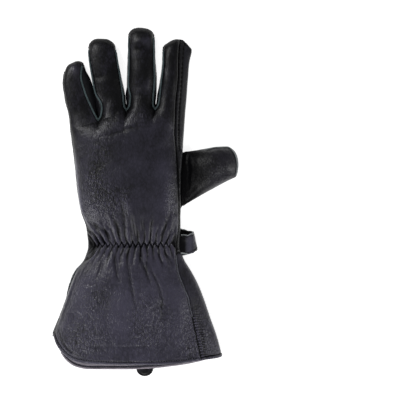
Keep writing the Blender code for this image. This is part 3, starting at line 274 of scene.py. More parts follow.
# Rubbed, grainy places on the back: centre, radius and strength
GRAIN_PATCHES = (
    ((148, 320), (18, 28), 1), ((86, 336), (22, 14), 0.9), ((95, 184), (10, 28), 0.9),
    ((103, 147), (9, 11), 0.5), ((112, 204), (9, 20), 0.8), ((126, 206), (5, 18), 0.9),
    ((96, 300), (14, 22), 0.6), ((108, 124), (14, 9), 0.35), ((141, 119), (12, 8), 0.3),
    ((190, 338), (9, 22), 0.8), ((172, 200), (8, 26), 0.5),
)
# Painted highlights and painted shade on the back: centre, radius and strength
PAINTED_LIGHT_PATCHES = (
    ((90, 180), (10, 34), 0.35), ((171, 195), (6, 26), 0.25), ((74, 69), (4, 6), 0.9),
    ((148, 40), (5, 5), 0.35), ((134, 312), (36, 30), 0.42), ((106, 84), (14, 36), -0.14),
    ((91, 254), (5, 12), 0.6), ((84, 129), (13, 6), -0.4), ((130, 124), (34, 10), 0.16),
)
# The same for the thumb's grain, and painted highlights on the index side
THUMB_GRAIN = (((212, 166), (14, 12), 0.6),)
STRIP_HIGHLIGHTS = (((187.2, 57), (2.6, 13), 1.0), ((186, 75), (2.4, 20), 0.4))
# Scale of the noise for wrinkles that run down the glove
LONG_WRINKLES = (1.0, 0.55, 1.0)
# From a hem's edge to its row of stitches
HEM_GROOVE = 3.3
# Pitches of the points that seams and distances are measured from
SEAM_PITCH = 0.9
PLACE_PITCH = 0.7
# The prism that cuts the thumb's hole: its corners beyond the gusset and the base, and its heights
HOLE_CORNERS = ((190, 206), (190, 151.5), (183.4, 151.5), (174, 150.9))
HOLE_HEIGHTS = (-5, 16)
# Right of and above this place the back and the index side strip are one piece of leather
JOINT_AT = (180.4, 52)
# Down the glove: where the ulnar seam's loose ply stands up, and where the cuff's side seam lies bare
LOOSE_PLY = (259, 303)
BARE_FROM = 318
# The thumb's raised seam: the row of its grid where it starts, its column, and where it ends at the tip
THUMB_SEAM = (30, 4, -7)

# Cross-section of a seam's two plies, as shares of its width and height
LIP_PROFILE = ((-0.5, -0.9), (-0.5, 0.72), (-0.43, 1.0), (-0.07, 1.0), (0.0, 0.82), (0.07, 1.0), (0.43, 1.0),
               (0.5, 0.72), (0.5, -0.9))
# A stitch's rings: place along it, rise and girth
THREAD_RINGS = ((-0.5, 0.1, 0.45), (-0.36, 0.75, 0.95), (0.0, 1.0, 1.0), (0.36, 0.75, 0.95), (0.5, 0.1, 0.45))
THREAD_SIDES = 6

STRAP_THICK = 1.7
STRAP_TOP_Z = 6.65
SEAT_GAP = 0.3
# Across a strap from its edge: distance, height of its face as a share of half its thickness, and tone, which
# is painted shade in the sewn groove
STRAP_EDGE = ((0.0, 0.30, 0), (0.12, 0.72, 0), (0.4, 0.96, 0), (1.1, 1.0, 0), (1.7, 0.96, -0.4),
              (2.05, 0.66, -1.2), (2.4, 0.96, -0.4), (3.2, 1.0, 0), (5.0, 1.0, 0))
SEWN_INSET = 2.05
BAND_ENDS = (93.5, 176.0)
BAND_UPPER = ((93.5, 227.2), (135, 226.4), (176, 225.2))
BAND_LOWER = ((93.5, 247.0), (135, 246.6), (176, 246.0))
FLAP_ROOT = 179.6
FLAP_ROOT_Z = 12.5
FLAP_TURN = 190.8
FLAP_SLANT = 0.25
FLAP_LEANS_FROM = 184.0
FLAP_END = 160.0
FLAP_MIDDLE = 236.3
# The flap's edges by share of its length, and its tone by place across: a painted shadow of the hand at its
# root, a painted highlight on its face, and painted shade where it turns over at the fold
FLAP_UPPER = ((0, 234.0), (0.1, 235.0), (0.2, 234.2), (0.31, 232.2), (0.43, 230.6), (0.6, 229.0),
              (0.72, 225.4), (1, 225.2))
FLAP_LOWER = ((0, 255.6), (0.1, 255.4), (0.2, 252.8), (0.31, 249.8), (0.43, 249.4), (0.6, 247.4), (1, 247.8))
FLAP_PAINTED_LIGHT = ((181, -1.1), (184.5, -1.0), (187.0, 0.5), (190.5, 1.0), (193.5, 0.4), (196, -0.6))
# The frayed lower corner where the flap leaves the seam
FLAP_FRAY = ((177.0, 250.2, 13.0), (178.2, 252.8, 12.9), (180.6, 253.9, 12.9), (183.0, 253.2, 13.2),
             (185.6, 254.4, 13.1), (188.4, 252.8, 13.0))
# The snap's stud and cap: place, and rings of (radius, depth) below the seat
STUD_AT = (139.0, 236.3)
STUD_RINGS = (
    (5.3, 0), (5.7, 0.12), (5.75, 0.5), (5.55, 0.95), (5.1, 1.2), (4.4, 1.22), (3.4, 1.08), (2.95, 1.0),
    (2.7, 1.05), (2.6, 1.3), (2.55, 2.0), (2.62, 2.35), (2.5, 2.65), (2.1, 2.9), (1.5, 3.0), (0.8, 2.9),
    (0.5, 2.6),
)
CAP_AT = (172.0, 235.6)
CAP_RINGS = (
    (6.5, 0), (6.85, 0.1), (6.9, 0.45), (6.7, 0.85), (6.2, 1.12), (5.6, 1.16), (5.2, 1.08), (4.9, 1.2),
    (4.2, 1.42), (3.0, 1.55), (1.5, 1.6),
)
TAB_ACROSS, TAB_DOWN, TAB_NECK, TAB_HALF = 144.5, 352.5, 369.4, 12.5
TAB_ROUND, TAB_CORNER = 8.4, 3.5
# The tab's rings from below to above: how far inside its outline, and height
TAB_PROFILE = ((3.2, 0.02), (1.6, 0.02), (0.35, 0.02), (0.08, 0.2), (0.0, 0.55), (0.0, 0.95), (0.08, 1.3),
               (0.35, 1.5), (1.3, 1.5), (1.7, 1.2), (2.1, 1.5), (3.2, 1.5))
# Numbers of the rings at its cut edge, and of the sewn one
TAB_EDGE = (3, 4, 5)
TAB_GROOVE = 9
# The columns that the facing runs along, and across it from the hem's edge: distance, height, and tone, which
# paints shade into its groove and highlights onto the rolls beside it
FACING_SPAN = slice(8, -6)
FACING_PROFILE = (
    (-0.25, 0.1, -0.1), (-0.5, 0.6, 0.1), (-0.55, 1.2, 0.3), (-0.4, 1.8, 0.45), (0, 2.3, 0.5),
    (0.5, 2.55, 0.45), (1, 2.6, 0.3), (1.4, 2.5, 0.05), (1.7, 2.3, -0.45), (2.1, 2.1, -0.9), (2.5, 2.1, -0.9),
    (2.9, 2.3, -0.6), (3.3, 2.7, 0.05), (3.7, 2.95, 0.5), (4.1, 3.05, 0.8), (4.6, 3, 0.75), (5, 2.85, 0.45),
    (5.6, 2.6, 0.2), (7, 2.5, 0), (8.6, 2.5, 0), (9, 2.2, 0),
)

# Half the floor's side, in metres
FLOOR_HALF = 6
# Lights: name, place, target, width, length and power
LIGHTS = (
    ("key", (-0.75, 0.75, 0.95), (0, 0, 0), 0.36, 0.36, 4.5),
    ("left_strip", (-0.8, -0.35, 0.55), (0, -0.1, 0), 0.18, 0.7, 2.2),
    ("right_strip", (1.0, -0.2, 0.55), (0, -0.05, 0), 0.18, 0.8, 2.2),
    ("low_key", (-0.1, -0.85, 0.75), (0, -0.12, 0), 0.4, 0.4, 3.0),
)
CAMERA_AT = (0.05475, 0.002, 2.2)
SENSOR = 36.0
# The square that the camera shows at the glove's middle height, in metres
FIELD = 0.4
SHOWN_Z = 0.012

LATTICE = np.random.RandomState(7).rand(32, 32, 32) * 2 - 1


def smooth_lookup(rows, at, number=1):
    """Reads a table's column anywhere along its first one, without corners or overshoot."""
    table = np.asarray(rows, float)
    x, y = table[:, 0], table[:, number]
    secant = np.diff(y) / np.diff(x)
    both = secant[:-1] * secant[1:]
    inside = np.where(both > 0, 2 * both / np.where(both > 0, secant[:-1] + secant[1:], 1), 0)
    slope = np.concatenate([secant[:1], inside, secant[-1:]])
    at = np.clip(at, x[0], x[-1])
    i = np.clip(np.searchsorted(x, at, side="right") - 1, 0, len(x) - 2)
    step = x[i + 1] - x[i]
    s = (at - x[i]) / step
    near = y[i] * (1 + 2 * s) * (1 - s) ** 2 + step * slope[i] * s * (1 - s) ** 2
    far = y[i + 1] * s * s * (3 - 2 * s) + step * slope[i + 1] * s * s * (s - 1)
    return near + far


def lengths(line):
    """How far along a line each of its points lies."""
    return np.concatenate([[0], np.cumsum(np.linalg.norm(np.diff(line, axis=0), axis=1))])


def along(points, share):
    """Points at the given shares of a smooth line's length, in as many dimensions as it has."""
    points = np.asarray(points, float)
    table = np.column_stack([lengths(points), points])
    at = np.asarray(share, float) * table[-1, 0]
    return np.stack([smooth_lookup(table, at, k) for k in range(1, table.shape[1])], axis=-1)


def even(line, pitch):
    """The same line with points about one pitch apart."""
    run = lengths(line)
    count = max(2, int(round(run[-1] / pitch)) + 1)
    at = np.linspace(0, run[-1], count)
    return np.stack([np.interp(at, run, line[:, k]) for k in range(line.shape[1])], axis=1)


def unit(vectors):
    """The same directions at length 1."""
    return vectors / np.maximum(np.linalg.norm(vectors, axis=1, keepdims=True), 1e-9)


def ramp(value, width):
    """0 below nothing, 1 beyond the width, and straight between."""
    return np.clip(value / width, 0, 1)


def bell(value, width):
    """1 at nothing, and falling off softly on both sides."""
    return np.exp(-((value / width) ** 2))


def spread(columns):
    """Places from -1 to 1, closer together towards both ends."""
    return np.sin(np.linspace(-1, 1, columns + 1) * math.pi / 2)


def to_frame(points):
    """Pattern-sheet millimetres to the frame's metres."""
    points = np.asarray(points, float)
    return np.column_stack([points[:, 0] - SHEET_X, SHEET_Y - points[:, 1], points[:, 2]]) * MM


def noise(points, size, seed=0):
    """Smooth noise from -1 to 1 with cells of the given size."""
    at = np.asarray(points, float) / size + seed * 7.31
    cell = np.floor(at).astype(int)
    part = at - cell
    part = part * part * (3 - 2 * part)
    total = 0.0
    for corner in range(8):
        step = np.array([corner & 1, corner >> 1 & 1, corner >> 2 & 1])
        weight = np.prod(np.where(step, part, 1 - part), axis=-1)
        place = (cell + step) % len(LATTICE)
        total = total + weight * LATTICE[place[..., 0], place[..., 1], place[..., 2]]
    return total


def shake(points, size, seed):
    """Smooth noise in all three directions."""
    return np.stack([noise(points, size, seed + axis) for axis in range(3)], axis=-1)


def creases(across, down, rows):
    """Height that a table of creases adds at each place on the pattern sheet."""
    total = np.zeros(np.shape(across))
    for width, height, step, *course in rows:
        line = along(np.reshape(course, (-1, 2)), np.linspace(0, 1, 2 * len(course)))
        low, high = line.min(axis=0) - 3 * width, line.max(axis=0) + 3 * width
        near = (across > low[0]) & (across < high[0]) & (down > low[1]) & (down < high[1])
        x, y = across[near], down[near]
        best, side, place = np.full(x.shape, FAR_AWAY), np.zeros(x.shape), np.zeros(x.shape)
        run = lengths(line)
        for k in range(len(line) - 1):
            ahead = line[k + 1] - line[k]
            size = np.linalg.norm(ahead)
            s = np.clip(((x - line[k, 0]) * ahead[0] + (y - line[k, 1]) * ahead[1]) / size**2, 0, 1)
            off_x, off_y = x - line[k, 0] - s * ahead[0], y - line[k, 1] - s * ahead[1]
            far = np.hypot(off_x, off_y)
            closer = far < best
            best = np.where(closer, far, best)
            side = np.where(closer, np.sign(off_x * ahead[1] - off_y * ahead[0]), side)
            place = np.where(closer, (run[k] + s * size) / run[-1], place)
        taper = np.clip(np.sin(math.pi * np.clip(place, 0.03, 0.97)), 0, 1) ** 0.6
        share = best / width
        ridge = np.exp(-share**2)
        total[near] += (height * ridge + step * side * share * ridge * 1.6) * taper
    return total


def gathers(across, down):
    """Pillows on both sides of the elastic, half a pitch apart, with sharp valleys between them. The tone it
    also returns is painted light: highlights on the pillows, shade in the valleys and along the elastic.
    """
    total, tone = np.zeros(np.shape(across)), np.zeros(np.shape(across))
    zigzag = GATHER_DOWN + 2.3 * (1 - 4 * np.abs(((across - GATHER_FIRST) / GATHER_PITCH + 0.5) % 1 - 0.5))
    last = len(GATHERS) - 1
    lean_rate = (LEAN_RADIAL - LEAN_ULNAR) / last
    inside = ramp(across - 88, 6) * ramp(180 - across, 6)
    level = np.abs(down - GATHER_DOWN)
    for way, shift, reach, size in ((-1, 0.0, 0, 1), (1, 0.5, 2, 3)):
        far = np.maximum(way * (down - zigzag), 0)
        q = across - GATHER_FIRST - shift * GATHER_PITCH - LEAN_ULNAR * level
        q = q / (GATHER_PITCH + lean_rate * level)
        k = np.clip(np.round(q), 0, last).astype(int)
        wander = 0.22 * noise(np.stack([q, level / 9, q * 0], axis=-1), 1.0, 3) * ramp(level, 8)
        ridge = np.abs(np.cos(math.pi * np.clip(q + wander - k, -0.5, 0.5))) ** 0.75
        long, high = np.array(GATHERS)[k, reach] * 1.12, np.array(GATHERS)[k, size]
        left = 1 - np.clip(far / long, 0, 1)
        here = way * (down - zigzag) > 0
        total += np.where(here, high * ridge * (left**1.35 * ramp(far, 1.5) ** 0.6) * inside * 1.15, 0)
        # Painted highlight on each pillow, painted shade in the valleys between them
        shade = 0.75 * ridge**1.6 - 1.5 * (1 - ridge) ** 1.7
        tone += np.where(here, shade * left**0.8 * inside, 0)
    pinch = bell(down - zigzag, 1.1) * inside
    total = total - 0.6 * pinch - 0.9 * bell(down - GATHER_DOWN, 9) * inside
    return total, tone - 0.9 * pinch


def crown(t, empty=0.0):
    """Cross-section of a back, 1 in the middle and 0 at its edges: round if filled, a lens if empty."""
    return np.maximum(1 - np.abs(t) ** (2.4 - 0.3 * empty), 0) ** (0.6 + 0.22 * empty)


def quarter_round(distance, radius):
    """How far a rounded end has risen at a distance from its edge."""
    return math.sqrt(max(0.0, 1 - (1 - min(distance / radius, 1)) ** 2))


def tip_reach(gone):
    """How much of a tip's reach is left at a distance from it."""
    return max(0.0, 1 - gone / TIP_REACH) ** 1.7


def floor_curl(t, power):
    """How much a palm side's edge has curled up from the floor. The middle lies quite flat."""
    return ramp(np.abs(t) - FLAT_SHARE, 1 - FLAT_SHARE) ** power


def side_row(top, bottom, widest, steps=SIDE_COLUMNS):
    """A side's points from its top edge to its bottom one, bulging out to the widest place across."""
    share = np.linspace(0, 1, steps + 1)[:, None]
    wall = top + (bottom - top) * share
    wall[:, 0] += (widest - (top[0] + bottom[0]) / 2) * 4 * share[:, 0] * (1 - share[:, 0])
    return wall


def finger_length(finger):
    return finger["left_edge"][-1][0] - finger["left_edge"][0][0]


def finger_edge(finger, way, share):
    """A finger's edge, side and place down on its left or right, at a share of its length."""
    edge, side = finger[way + "_edge"], finger[way + "_side"]
    down = edge[0][0] + (edge[-1][0] - edge[0][0]) * share
    return smooth_lookup(edge, down), smooth_lookup(side, down), down


def finger_section(finger, share):
    """One row of a finger: its back, right side, front and left side, each from its left or top edge."""
    left, left_side, left_down = finger_edge(finger, "left", share)
    right, right_side, right_down = finger_edge(finger, "right", share)
    gone = share * finger_length(finger)
    back_z, front_z = smooth_lookup(BACK_SEAM_Z, share), smooth_lookup(FRONT_SEAM_Z, share)
    top_z = finger["full"] * smooth_lookup(FINGER_CROWN, share)
    rise = quarter_round(gone, TIP_ROUND)
    reach = tip_reach(gone)

    def row(t, start, end, height):
        """Points from start to end across, standing out at the tip."""
        mix = (t + 1) / 2
        lean = np.clip(1 - np.abs(t + finger["tip_lean"] * (1 - t * t)) ** 2.6, 0, 1) ** 0.5
        down = left_down + (right_down - left_down) * mix - finger["tip"] * reach * lean
        return np.stack([start + (end - start) * mix, down, height], axis=1)

    t = spread(BACK_COLUMNS)
    back = row(t, left, right, back_z + (top_z - back_z) * crown(t) * rise)
    inset = min(1.0, gone / 8)
    between = FRONT_INSET * inset * min(1.0, (1 - share) * 10)
    left_inset = ULNAR_INSET * inset if finger["name"] == "little" else between
    right_inset = RADIAL_INSET * inset if finger["name"] == "index" else between
    closed = quarter_round(gone, 1.0)
    t = spread(FRONT_COLUMNS)
    low_left = left + (left_side + left_inset - left) * closed
    low_right = right + (right_side - right_inset - right) * closed
    front = row(t, low_left, low_right, front_z * (1 - (1 - floor_curl(t, 2.6)) * rise))
    steps = STRIP_COLUMNS if finger["name"] == "index" else SIDE_COLUMNS
    return (back, side_row(back[-1], front[-1], right + (right_side - right) * closed, steps),
            front, side_row(back[0], front[0], left + (left_side - left) * closed))


def back_height(t, down, empty):
    """Height of the hand's or cuff's back at places -1 to 1 across it."""
    height, left_z, right_z = (smooth_lookup(HAND_HEIGHTS, down, k) for k in (1, 3, 4))
    edge_z = left_z + (right_z - left_z) * ((t + 1) / 2)
    return edge_z + (height - edge_z) * crown(t, empty)


def front_height(t, lift, ulnar_z, radial_down):
    """Height of the palm side, curled up at both edges."""
    edge_z = np.where(t < 0, ulnar_z, np.interp(radial_down, *np.transpose(WINDOW)))
    return lift + (edge_z - lift) * floor_curl(t, PALM_CURL)


def hand_section(down, knuckle_back, knuckle_front):
    """One row of the hand or the upper cuff. Columns follow on from the knuckle rows."""
    blend = smooth_lookup(BLEND, down)
    t = np.linspace(-1, 1, len(knuckle_back))
    y = down * (1 - blend) + knuckle_back[:, 1] * blend
    left = smooth_lookup(HAND_PLAN, np.maximum(y, KNUCKLES)) + BACK_INSET
    right = smooth_lookup(HAND_PLAN, np.maximum(y, KNUCKLES), 2)
    high = back_height(t, down, ramp(down - EMPTY_FROM, EMPTY_OVER))
    back = np.stack([left + (right - left) * ((t + 1) / 2), y, high], axis=1)
    for k, share in ((0, blend), (2, blend**VALLEY_POWER)):
        back[:, k] = back[:, k] * (1 - share) + knuckle_back[:, k] * share

    t = np.linspace(-1, 1, len(knuckle_front))
    y = down * (1 - blend) + knuckle_front[:, 1] * blend
    ulnar = smooth_lookup(HAND_PLAN, max(y[0], KNUCKLES))
    radial = smooth_lookup(HAND_PLAN, max(y[-1], KNUCKLES), 3)
    lift = smooth_lookup(HAND_HEIGHTS, down, 2)
    plan = ulnar + ULNAR_INSET + (radial - RADIAL_INSET - ulnar - ULNAR_INSET) * ((t + 1) / 2)
    front = np.stack([plan, y, front_height(t, lift, ULNAR_EDGE_Z + LIFTED_EDGE * lift, y[-1])], axis=1)
    front[:, 0] = front[:, 0] * (1 - blend) + knuckle_front[:, 0] * blend
    front[1:-1, 2] = front[1:-1, 2] * (1 - blend) + knuckle_front[1:-1, 2] * blend
    return (back, side_row(back[-1], front[-1], radial, STRIP_COLUMNS),
            front, side_row(back[0], front[0], ulnar))


def cuff_section(share, straight, back_hem, front_hem):
    """One row of the cuff between its last straight row and the hems."""
    down = CUFF_STRAIGHT + (HEM_CORNER - CUFF_STRAIGHT) * share
    middle_down = down + HEM_AHEAD * share
    back, _, front, _ = straight
    t = np.linspace(-1, 1, len(back))
    high = np.column_stack([back[:, :2] * (1 - share) + back_hem * share, back_height(t, middle_down, 1)])
    t = np.linspace(-1, 1, len(front))
    height = front_height(t, smooth_lookup(HAND_HEIGHTS, middle_down, 2), ULNAR_EDGE_Z, down)
    low = np.column_stack([front[:, :2] * (1 - share) + front_hem * share, height])
    tab_across, tab_down, reach, rise, most = TAB_LIFT
    lifted = rise * bell(np.hypot(low[:, 0] - tab_across, np.maximum(tab_down - low[:, 1], 0)), reach)
    low[1:-1, 2] += np.minimum(lifted, most)[1:-1]
    right_side = smooth_lookup(HAND_PLAN, CUFF_STRAIGHT + (GUSSET_CORNER - CUFF_STRAIGHT) * share, 3)
    left_side = smooth_lookup(HAND_PLAN, down)
    return (high, side_row(high[-1], low[-1], right_side, STRIP_COLUMNS),
            low, side_row(high[0], low[0], left_side))


def grid_quads(ids):
    """Faces of a grid of point numbers."""
    return np.stack([ids[:-1, :-1], ids[1:, :-1], ids[1:, 1:], ids[:-1, 1:]], axis=-1).reshape(-1, 4)


class Skin:
    """Grids of points that meet. Rows run down and columns left to right, seen from outside."""

    def __init__(self):
        self.grids = []

    def add(self, panel, grid):
        self.grids.append((panel, np.asarray(grid, float)))

    def settle(self):
        """Shares the points of grids that meet, and works out the normals."""
        every = np.concatenate([grid.reshape(-1, 3) for _, grid in self.grids])
        place = np.round(every * STEPS_PER_MM).astype(np.int64)
        _, first, number = np.unique(place, axis=0, return_index=True, return_inverse=True)
        self.points, number, parts, start = every[first], number.ravel(), {}, 0
        for panel, grid in self.grids:
            size = grid.shape[0] * grid.shape[1]
            ids = number[start:start + size].reshape(grid.shape[:2])
            parts.setdefault(panel, []).append(grid_quads(ids))
            start += size
        self.faces = {panel: np.concatenate(quads) for panel, quads in parts.items()}
        self.normals = self.point_normals()

    def point_normals(self):
        """Normals in sheet coordinates, whose down axis runs against the frame's Y."""
        quads = np.concatenate(list(self.faces.values()))
        place = self.points[quads]
        across = np.cross(place[:, 2] - place[:, 0], place[:, 3] - place[:, 1])
        total = np.zeros_like(self.points)
        for k in range(4):
            np.add.at(total, quads[:, k], across)
        return -unit(total)


def border_edges(quads):
    """Edges with a face on one side only, in the direction of that face."""
    edges = np.concatenate([quads[:, [k, (k + 1) % 4]] for k in range(4)])
    edges = edges[edges[:, 0] != edges[:, 1]]
    size = int(edges.max()) + 1
    return edges[~np.isin(edges @ (size, 1), edges @ (1, size))]


def wall_faces(quads, count):
    """The border of some faces, and a closed wall of them with its inner points count places further on."""
    border = border_edges(quads)
    sides = np.column_stack([border[:, ::-1], border + count])
    return border, np.concatenate([quads, quads[:, ::-1] + count, sides])


def covered_joint(points):
    """Where two panels are one piece of leather in the real glove, at the index fingertip's side."""
    return (points[:, 0] > JOINT_AT[0]) & (points[:, 1] < JOINT_AT[1])


def shell(skin, panel):
    """One panel, kept clear of its neighbours: points, normals, its closed wall's faces, and which are at
    its border."""
    used, local = np.unique(skin.faces[panel], return_inverse=True)
    points, normals = skin.points[used], skin.normals[used]
    border, faces = wall_faces(local.reshape(-1, 4), len(used))
    start, end = border.T
    side = unit(-np.cross(normals[start] + normals[end], points[end] - points[start]))
    inward = np.zeros_like(points)
    np.add.at(inward, start, side)
    np.add.at(inward, end, side)
    size = np.linalg.norm(inward, axis=1, keepdims=True)
    gaps = np.where(covered_joint(points), 0.0, PANEL_GAP / 2)[:, None]
    return points + inward / np.maximum(size, 0.6) * gaps, normals, faces, size[:, 0] > 0


def clean_faces(faces):
    """Faces as lists, without repeated corners."""
    rings = [[p for k, p in enumerate(ring) if p != ring[k - 1]] for ring in faces.tolist()]
    return [ring for ring in rings if len(set(ring)) > 2]


def add_object(name, data):
    made = bpy.data.objects.new(name, data)
    bpy.context.scene.collection.objects.link(made)
    return made


def make_mesh(name, points, faces):
    mesh = bpy.data.meshes.new(name)
    mesh.from_pydata(points, [], faces)
    return mesh


def make_piece(name, shape, materials, nodes=(), sharp=50, tone=None, grain=None):
    """A shown piece riding on the root, from its sheet points, its faces and, if given, their materials."""
    points, faces, *kinds = shape
    points[:, 2] = np.maximum(points[:, 2], FLOOR_Z)
    mesh = make_mesh(name, to_frame(points).tolist(), faces)
    for material in materials:
        mesh.materials.append(material)
    if kinds:
        mesh.polygons.foreach_set("material_index", kinds[0])
    for label, values in (("tone", tone), ("grain", grain)):
        if values is not None:
            layer = mesh.attributes.new(label, "FLOAT", "POINT")
            layer.data.foreach_set("value", np.asarray(values, np.float32))
    mesh.shade_smooth()
    mesh.set_sharp_from_angle(angle=math.radians(sharp))
    mesh.update()
    made = add_object(name, mesh)
    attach(made, "root")
    if nodes:
        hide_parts(*nodes)
    return made


class Look:
    """A material's shader and the nodes before it."""

    def __init__(self, name):
        self.material = bpy.data.materials.new(name)
        self.material.use_nodes = True
        self.tree = self.material.node_tree

    def new(self, kind):
        return self.tree.nodes.new("ShaderNode" + kind)

    def feed(self, node, values):
        """The node, with values set on its inputs, or linked to them where they are other nodes' outputs."""
        for key, value in values.items():
            if isinstance(value, bpy.types.NodeSocket):
                self.tree.links.new(value, node.inputs[key])
            else:
                node.inputs[key].default_value = value
        return node

    def shade(self, values):
        self.feed(self.tree.nodes["Principled BSDF"], values)
        return self.material

    def place(self, *stretch):
        """The frame's own metres, stretched so that a texture's cells grow long or wide."""
        place = self.new("TexCoord").outputs["Object"]
        if stretch:
            place = self.feed(self.new("Mapping"), {"Vector": place, "Scale": stretch}).outputs["Vector"]
        return place

    def attribute(self, name):
        node = self.new("Attribute")
        node.attribute_name = name
        return node.outputs["Fac"]

    def noise(self, place, scale, detail=3.0, roughness=0.55):
        values = {"Vector": place, "Scale": scale, "Detail": detail, "Roughness": roughness}
        return self.feed(self.new("TexNoise"), values).outputs["Fac"]

    def cells(self, place, scale, feature="F1"):
        node = self.new("TexVoronoi")
        node.feature = feature
        return self.feed(node, {"Vector": place, "Scale": scale}).outputs["Distance"]

    def range(self, value, low, high, to_low, to_high):
        """The value moved from one range to another, and kept inside it."""
        values = dict(enumerate((value, low, high, to_low, to_high)))
        return self.feed(self.new("MapRange"), values).outputs["Result"]

    def math(self, operation, first, second):
        node = self.new("Math")
        node.operation = operation
        return self.feed(node, {0: first, 1: second}).outputs["Value"]

    def mix(self, share, first, second):
        """A colour between two. The colour sockets come after the mix node's float and vector ones."""
        node = self.new("Mix")
        node.data_type = "RGBA"
        return self.feed(node, {0: share, 6: (*first, 1), 7: (*second, 1)}).outputs[2]

    def bump(self, height, distance, strength, before=None):
        values = {"Height": height, "Distance": distance, "Strength": strength}
        if before is not None:
            values["Normal"] = before
        return self.feed(self.new("Bump"), values).outputs["Normal"]


def leather(name, dark, light, rough, depth=0.5, pebble=1150.0):
    """Grained leather, with pebbles and fine creases. Its colour follows the tone attribute, which holds
    painted shade in valleys and painted highlights on ridges, plus mottle and grain.
    """
    look = Look(name)
    place, long_place = look.place(), look.place(1.0, 0.5, 1.0)
    tone, grain = look.attribute("tone"), look.attribute("grain")
    mottle = look.noise(place, 42, 4.0)
    fine = look.noise(long_place, 420, 4.0, 0.62)
    pebbles = look.cells(place, pebble)
    scales = look.cells(long_place, 430, "DISTANCE_TO_EDGE")
    cracks = look.cells(long_place, 190, "DISTANCE_TO_EDGE")
    specks = look.range(scales, 0.03, 0.36, -0.30, 0.42)
    specks = look.math("MULTIPLY", specks, look.range(grain, 0.2, 1.0, 0, 1))
    # The colour mixes the tone's painted light and shade with mottle, fine noise and grain specks
    painted_light_and_grain = look.range(tone, -1, 1, -0.40, 0.75)
    for part in (look.range(mottle, 0.3, 0.72, 0.05, 0.45), look.range(fine, 0.35, 0.7, -0.08, 0.10),
                 look.range(scales, 0, 0.22, -0.12, 0.03), specks):
        painted_light_and_grain = look.math("ADD", painted_light_and_grain, part)
    grained = look.range(grain, 0, 1, 0.1, 1.0)
    normal = None
    for height, distance, strength in ((look.range(cracks, 0, 0.14, 0, 1), 0.00026, 0.7),
                                       (look.range(scales, 0, 0.25, 0, 1), 0.00028, 1), (fine, 0.00045, 0.8)):
        normal = look.bump(look.math("MULTIPLY", height, grained), distance, depth * strength, normal)
    return look.shade({
        "Base Color": look.mix(look.range(painted_light_and_grain, 0, 1, 0, 1), dark, light),
        "Roughness": look.range(painted_light_and_grain, 0, 1, rough + 0.08, rough - 0.06),
        "Normal": look.bump(pebbles, 0.00012, depth * 0.8, normal),
        # Painted shade in the tone also lowers the specular level, dimming reflections in the dark places
        "Specular IOR Level": look.range(tone, -1.3, -0.3, 0.10, 0.5), "IOR": 1.5,
        "Coat Weight": 0.06, "Coat Roughness": 0.28, "Sheen Weight": 0.03, "Sheen Roughness": 0.4,
    })


def raw_edge(name, color, pale):
    """The cut edge of leather: matt, fibrous, a little uneven in colour."""
    look = Look(name)
    place = look.place()
    fibre, patch = look.noise(place, 900, 4.0, 0.7), look.noise(place, 130)
    share = look.math("ADD", look.range(fibre, 0.3, 0.7, 0, 0.5), look.range(patch, 0.3, 0.7, 0, 0.6))
    return look.shade({"Base Color": look.mix(share, color, pale), "Normal": look.bump(fibre, 0.0003, 0.6),
                       "Roughness": look.range(fibre, 0.3, 0.7, 0.95, 0.75)})


def thread_material(name, color, pale):
    """Thread, lighter and darker along its twist."""
    look = Look(name)
    twist = look.noise(look.place(), 2600, 2.0)
    return look.shade({"Base Color": look.mix(look.range(twist, 0.3, 0.7, 0, 1), color, pale),
                       "Normal": look.bump(twist, 0.00015, 0.5), "Roughness": 0.6, "Sheen Weight": 0.15})


def woven(name, color, pale):
    """A close twill for the lining's facing."""
    look = Look(name)
    place = look.place()
    wave = look.new("TexWave")
    wave.bands_direction = "DIAGONAL"
    bands = look.feed(wave, {"Vector": place, "Scale": 420, "Distortion": 0.6}).outputs["Fac"]
    patch = look.range(look.noise(place, 160, 4.0), 0.3, 0.7, 0, 0.4)
    share = look.math("ADD", look.range(bands, 0, 1, 0, 0.3), patch)
    # The tone attribute brings in the facing's painted shade and highlights
    share = look.math("ADD", share, look.attribute("tone"))
    return look.shade({"Base Color": look.mix(share, color, pale), "Normal": look.bump(bands, 0.0002, 0.5),
                       "Roughness": 0.85, "Sheen Weight": 0.2})


def metal(name, color, dark, rough, metallic):
    """Plated or enamelled metal with fine handling scratches, and tarnish in patches."""
    look = Look(name)
    brushed, stain = look.noise(look.place(1, 6, 1), 700), look.noise(look.place(), 260, 4.0)
    return look.shade({"Base Color": look.mix(look.range(stain, 0.45, 0.75, 0, 0.5), color, dark),
                       "Roughness": look.range(brushed, 0.3, 0.7, rough - 0.05, rough + 0.12),
                       "Normal": look.bump(brushed, 0.00005, 0.25), "Metallic": metallic})


back_leather = leather("back_leather", (0.0020, 0.0020, 0.0032), (0.080, 0.075, 0.112), 0.31, 0.8)
palm_leather = leather("palm_leather", (0.0020, 0.0020, 0.0027), (0.032, 0.030, 0.042), 0.33, 0.8)
side_leather = leather("side_leather", (0.0018, 0.0018, 0.0024), (0.022, 0.022, 0.029), 0.33, 0.7)
strap_leather = leather("strap_leather", (0.0030, 0.0031, 0.0044), (0.088, 0.086, 0.118), 0.30, 0.4, 1500.0)
cut_edge = raw_edge("cut_edge", (0.040, 0.062, 0.068), (0.12, 0.165, 0.175))
pale_edge = raw_edge("pale_edge", (0.22, 0.24, 0.25), (0.46, 0.49, 0.50))
dark_edge = raw_edge("dark_edge", (0.008, 0.009, 0.011), (0.030, 0.031, 0.038))
grey_edge = raw_edge("grey_edge", (0.055, 0.056, 0.070), (0.185, 0.186, 0.230))
black_thread = thread_material("black_thread", (0.004, 0.004, 0.005), (0.016, 0.016, 0.020))
hem_thread = thread_material("hem_thread", (0.055, 0.055, 0.078), (0.17, 0.17, 0.22))
lining = woven("lining", (0.012, 0.011, 0.021), (0.45, 0.41, 0.47))
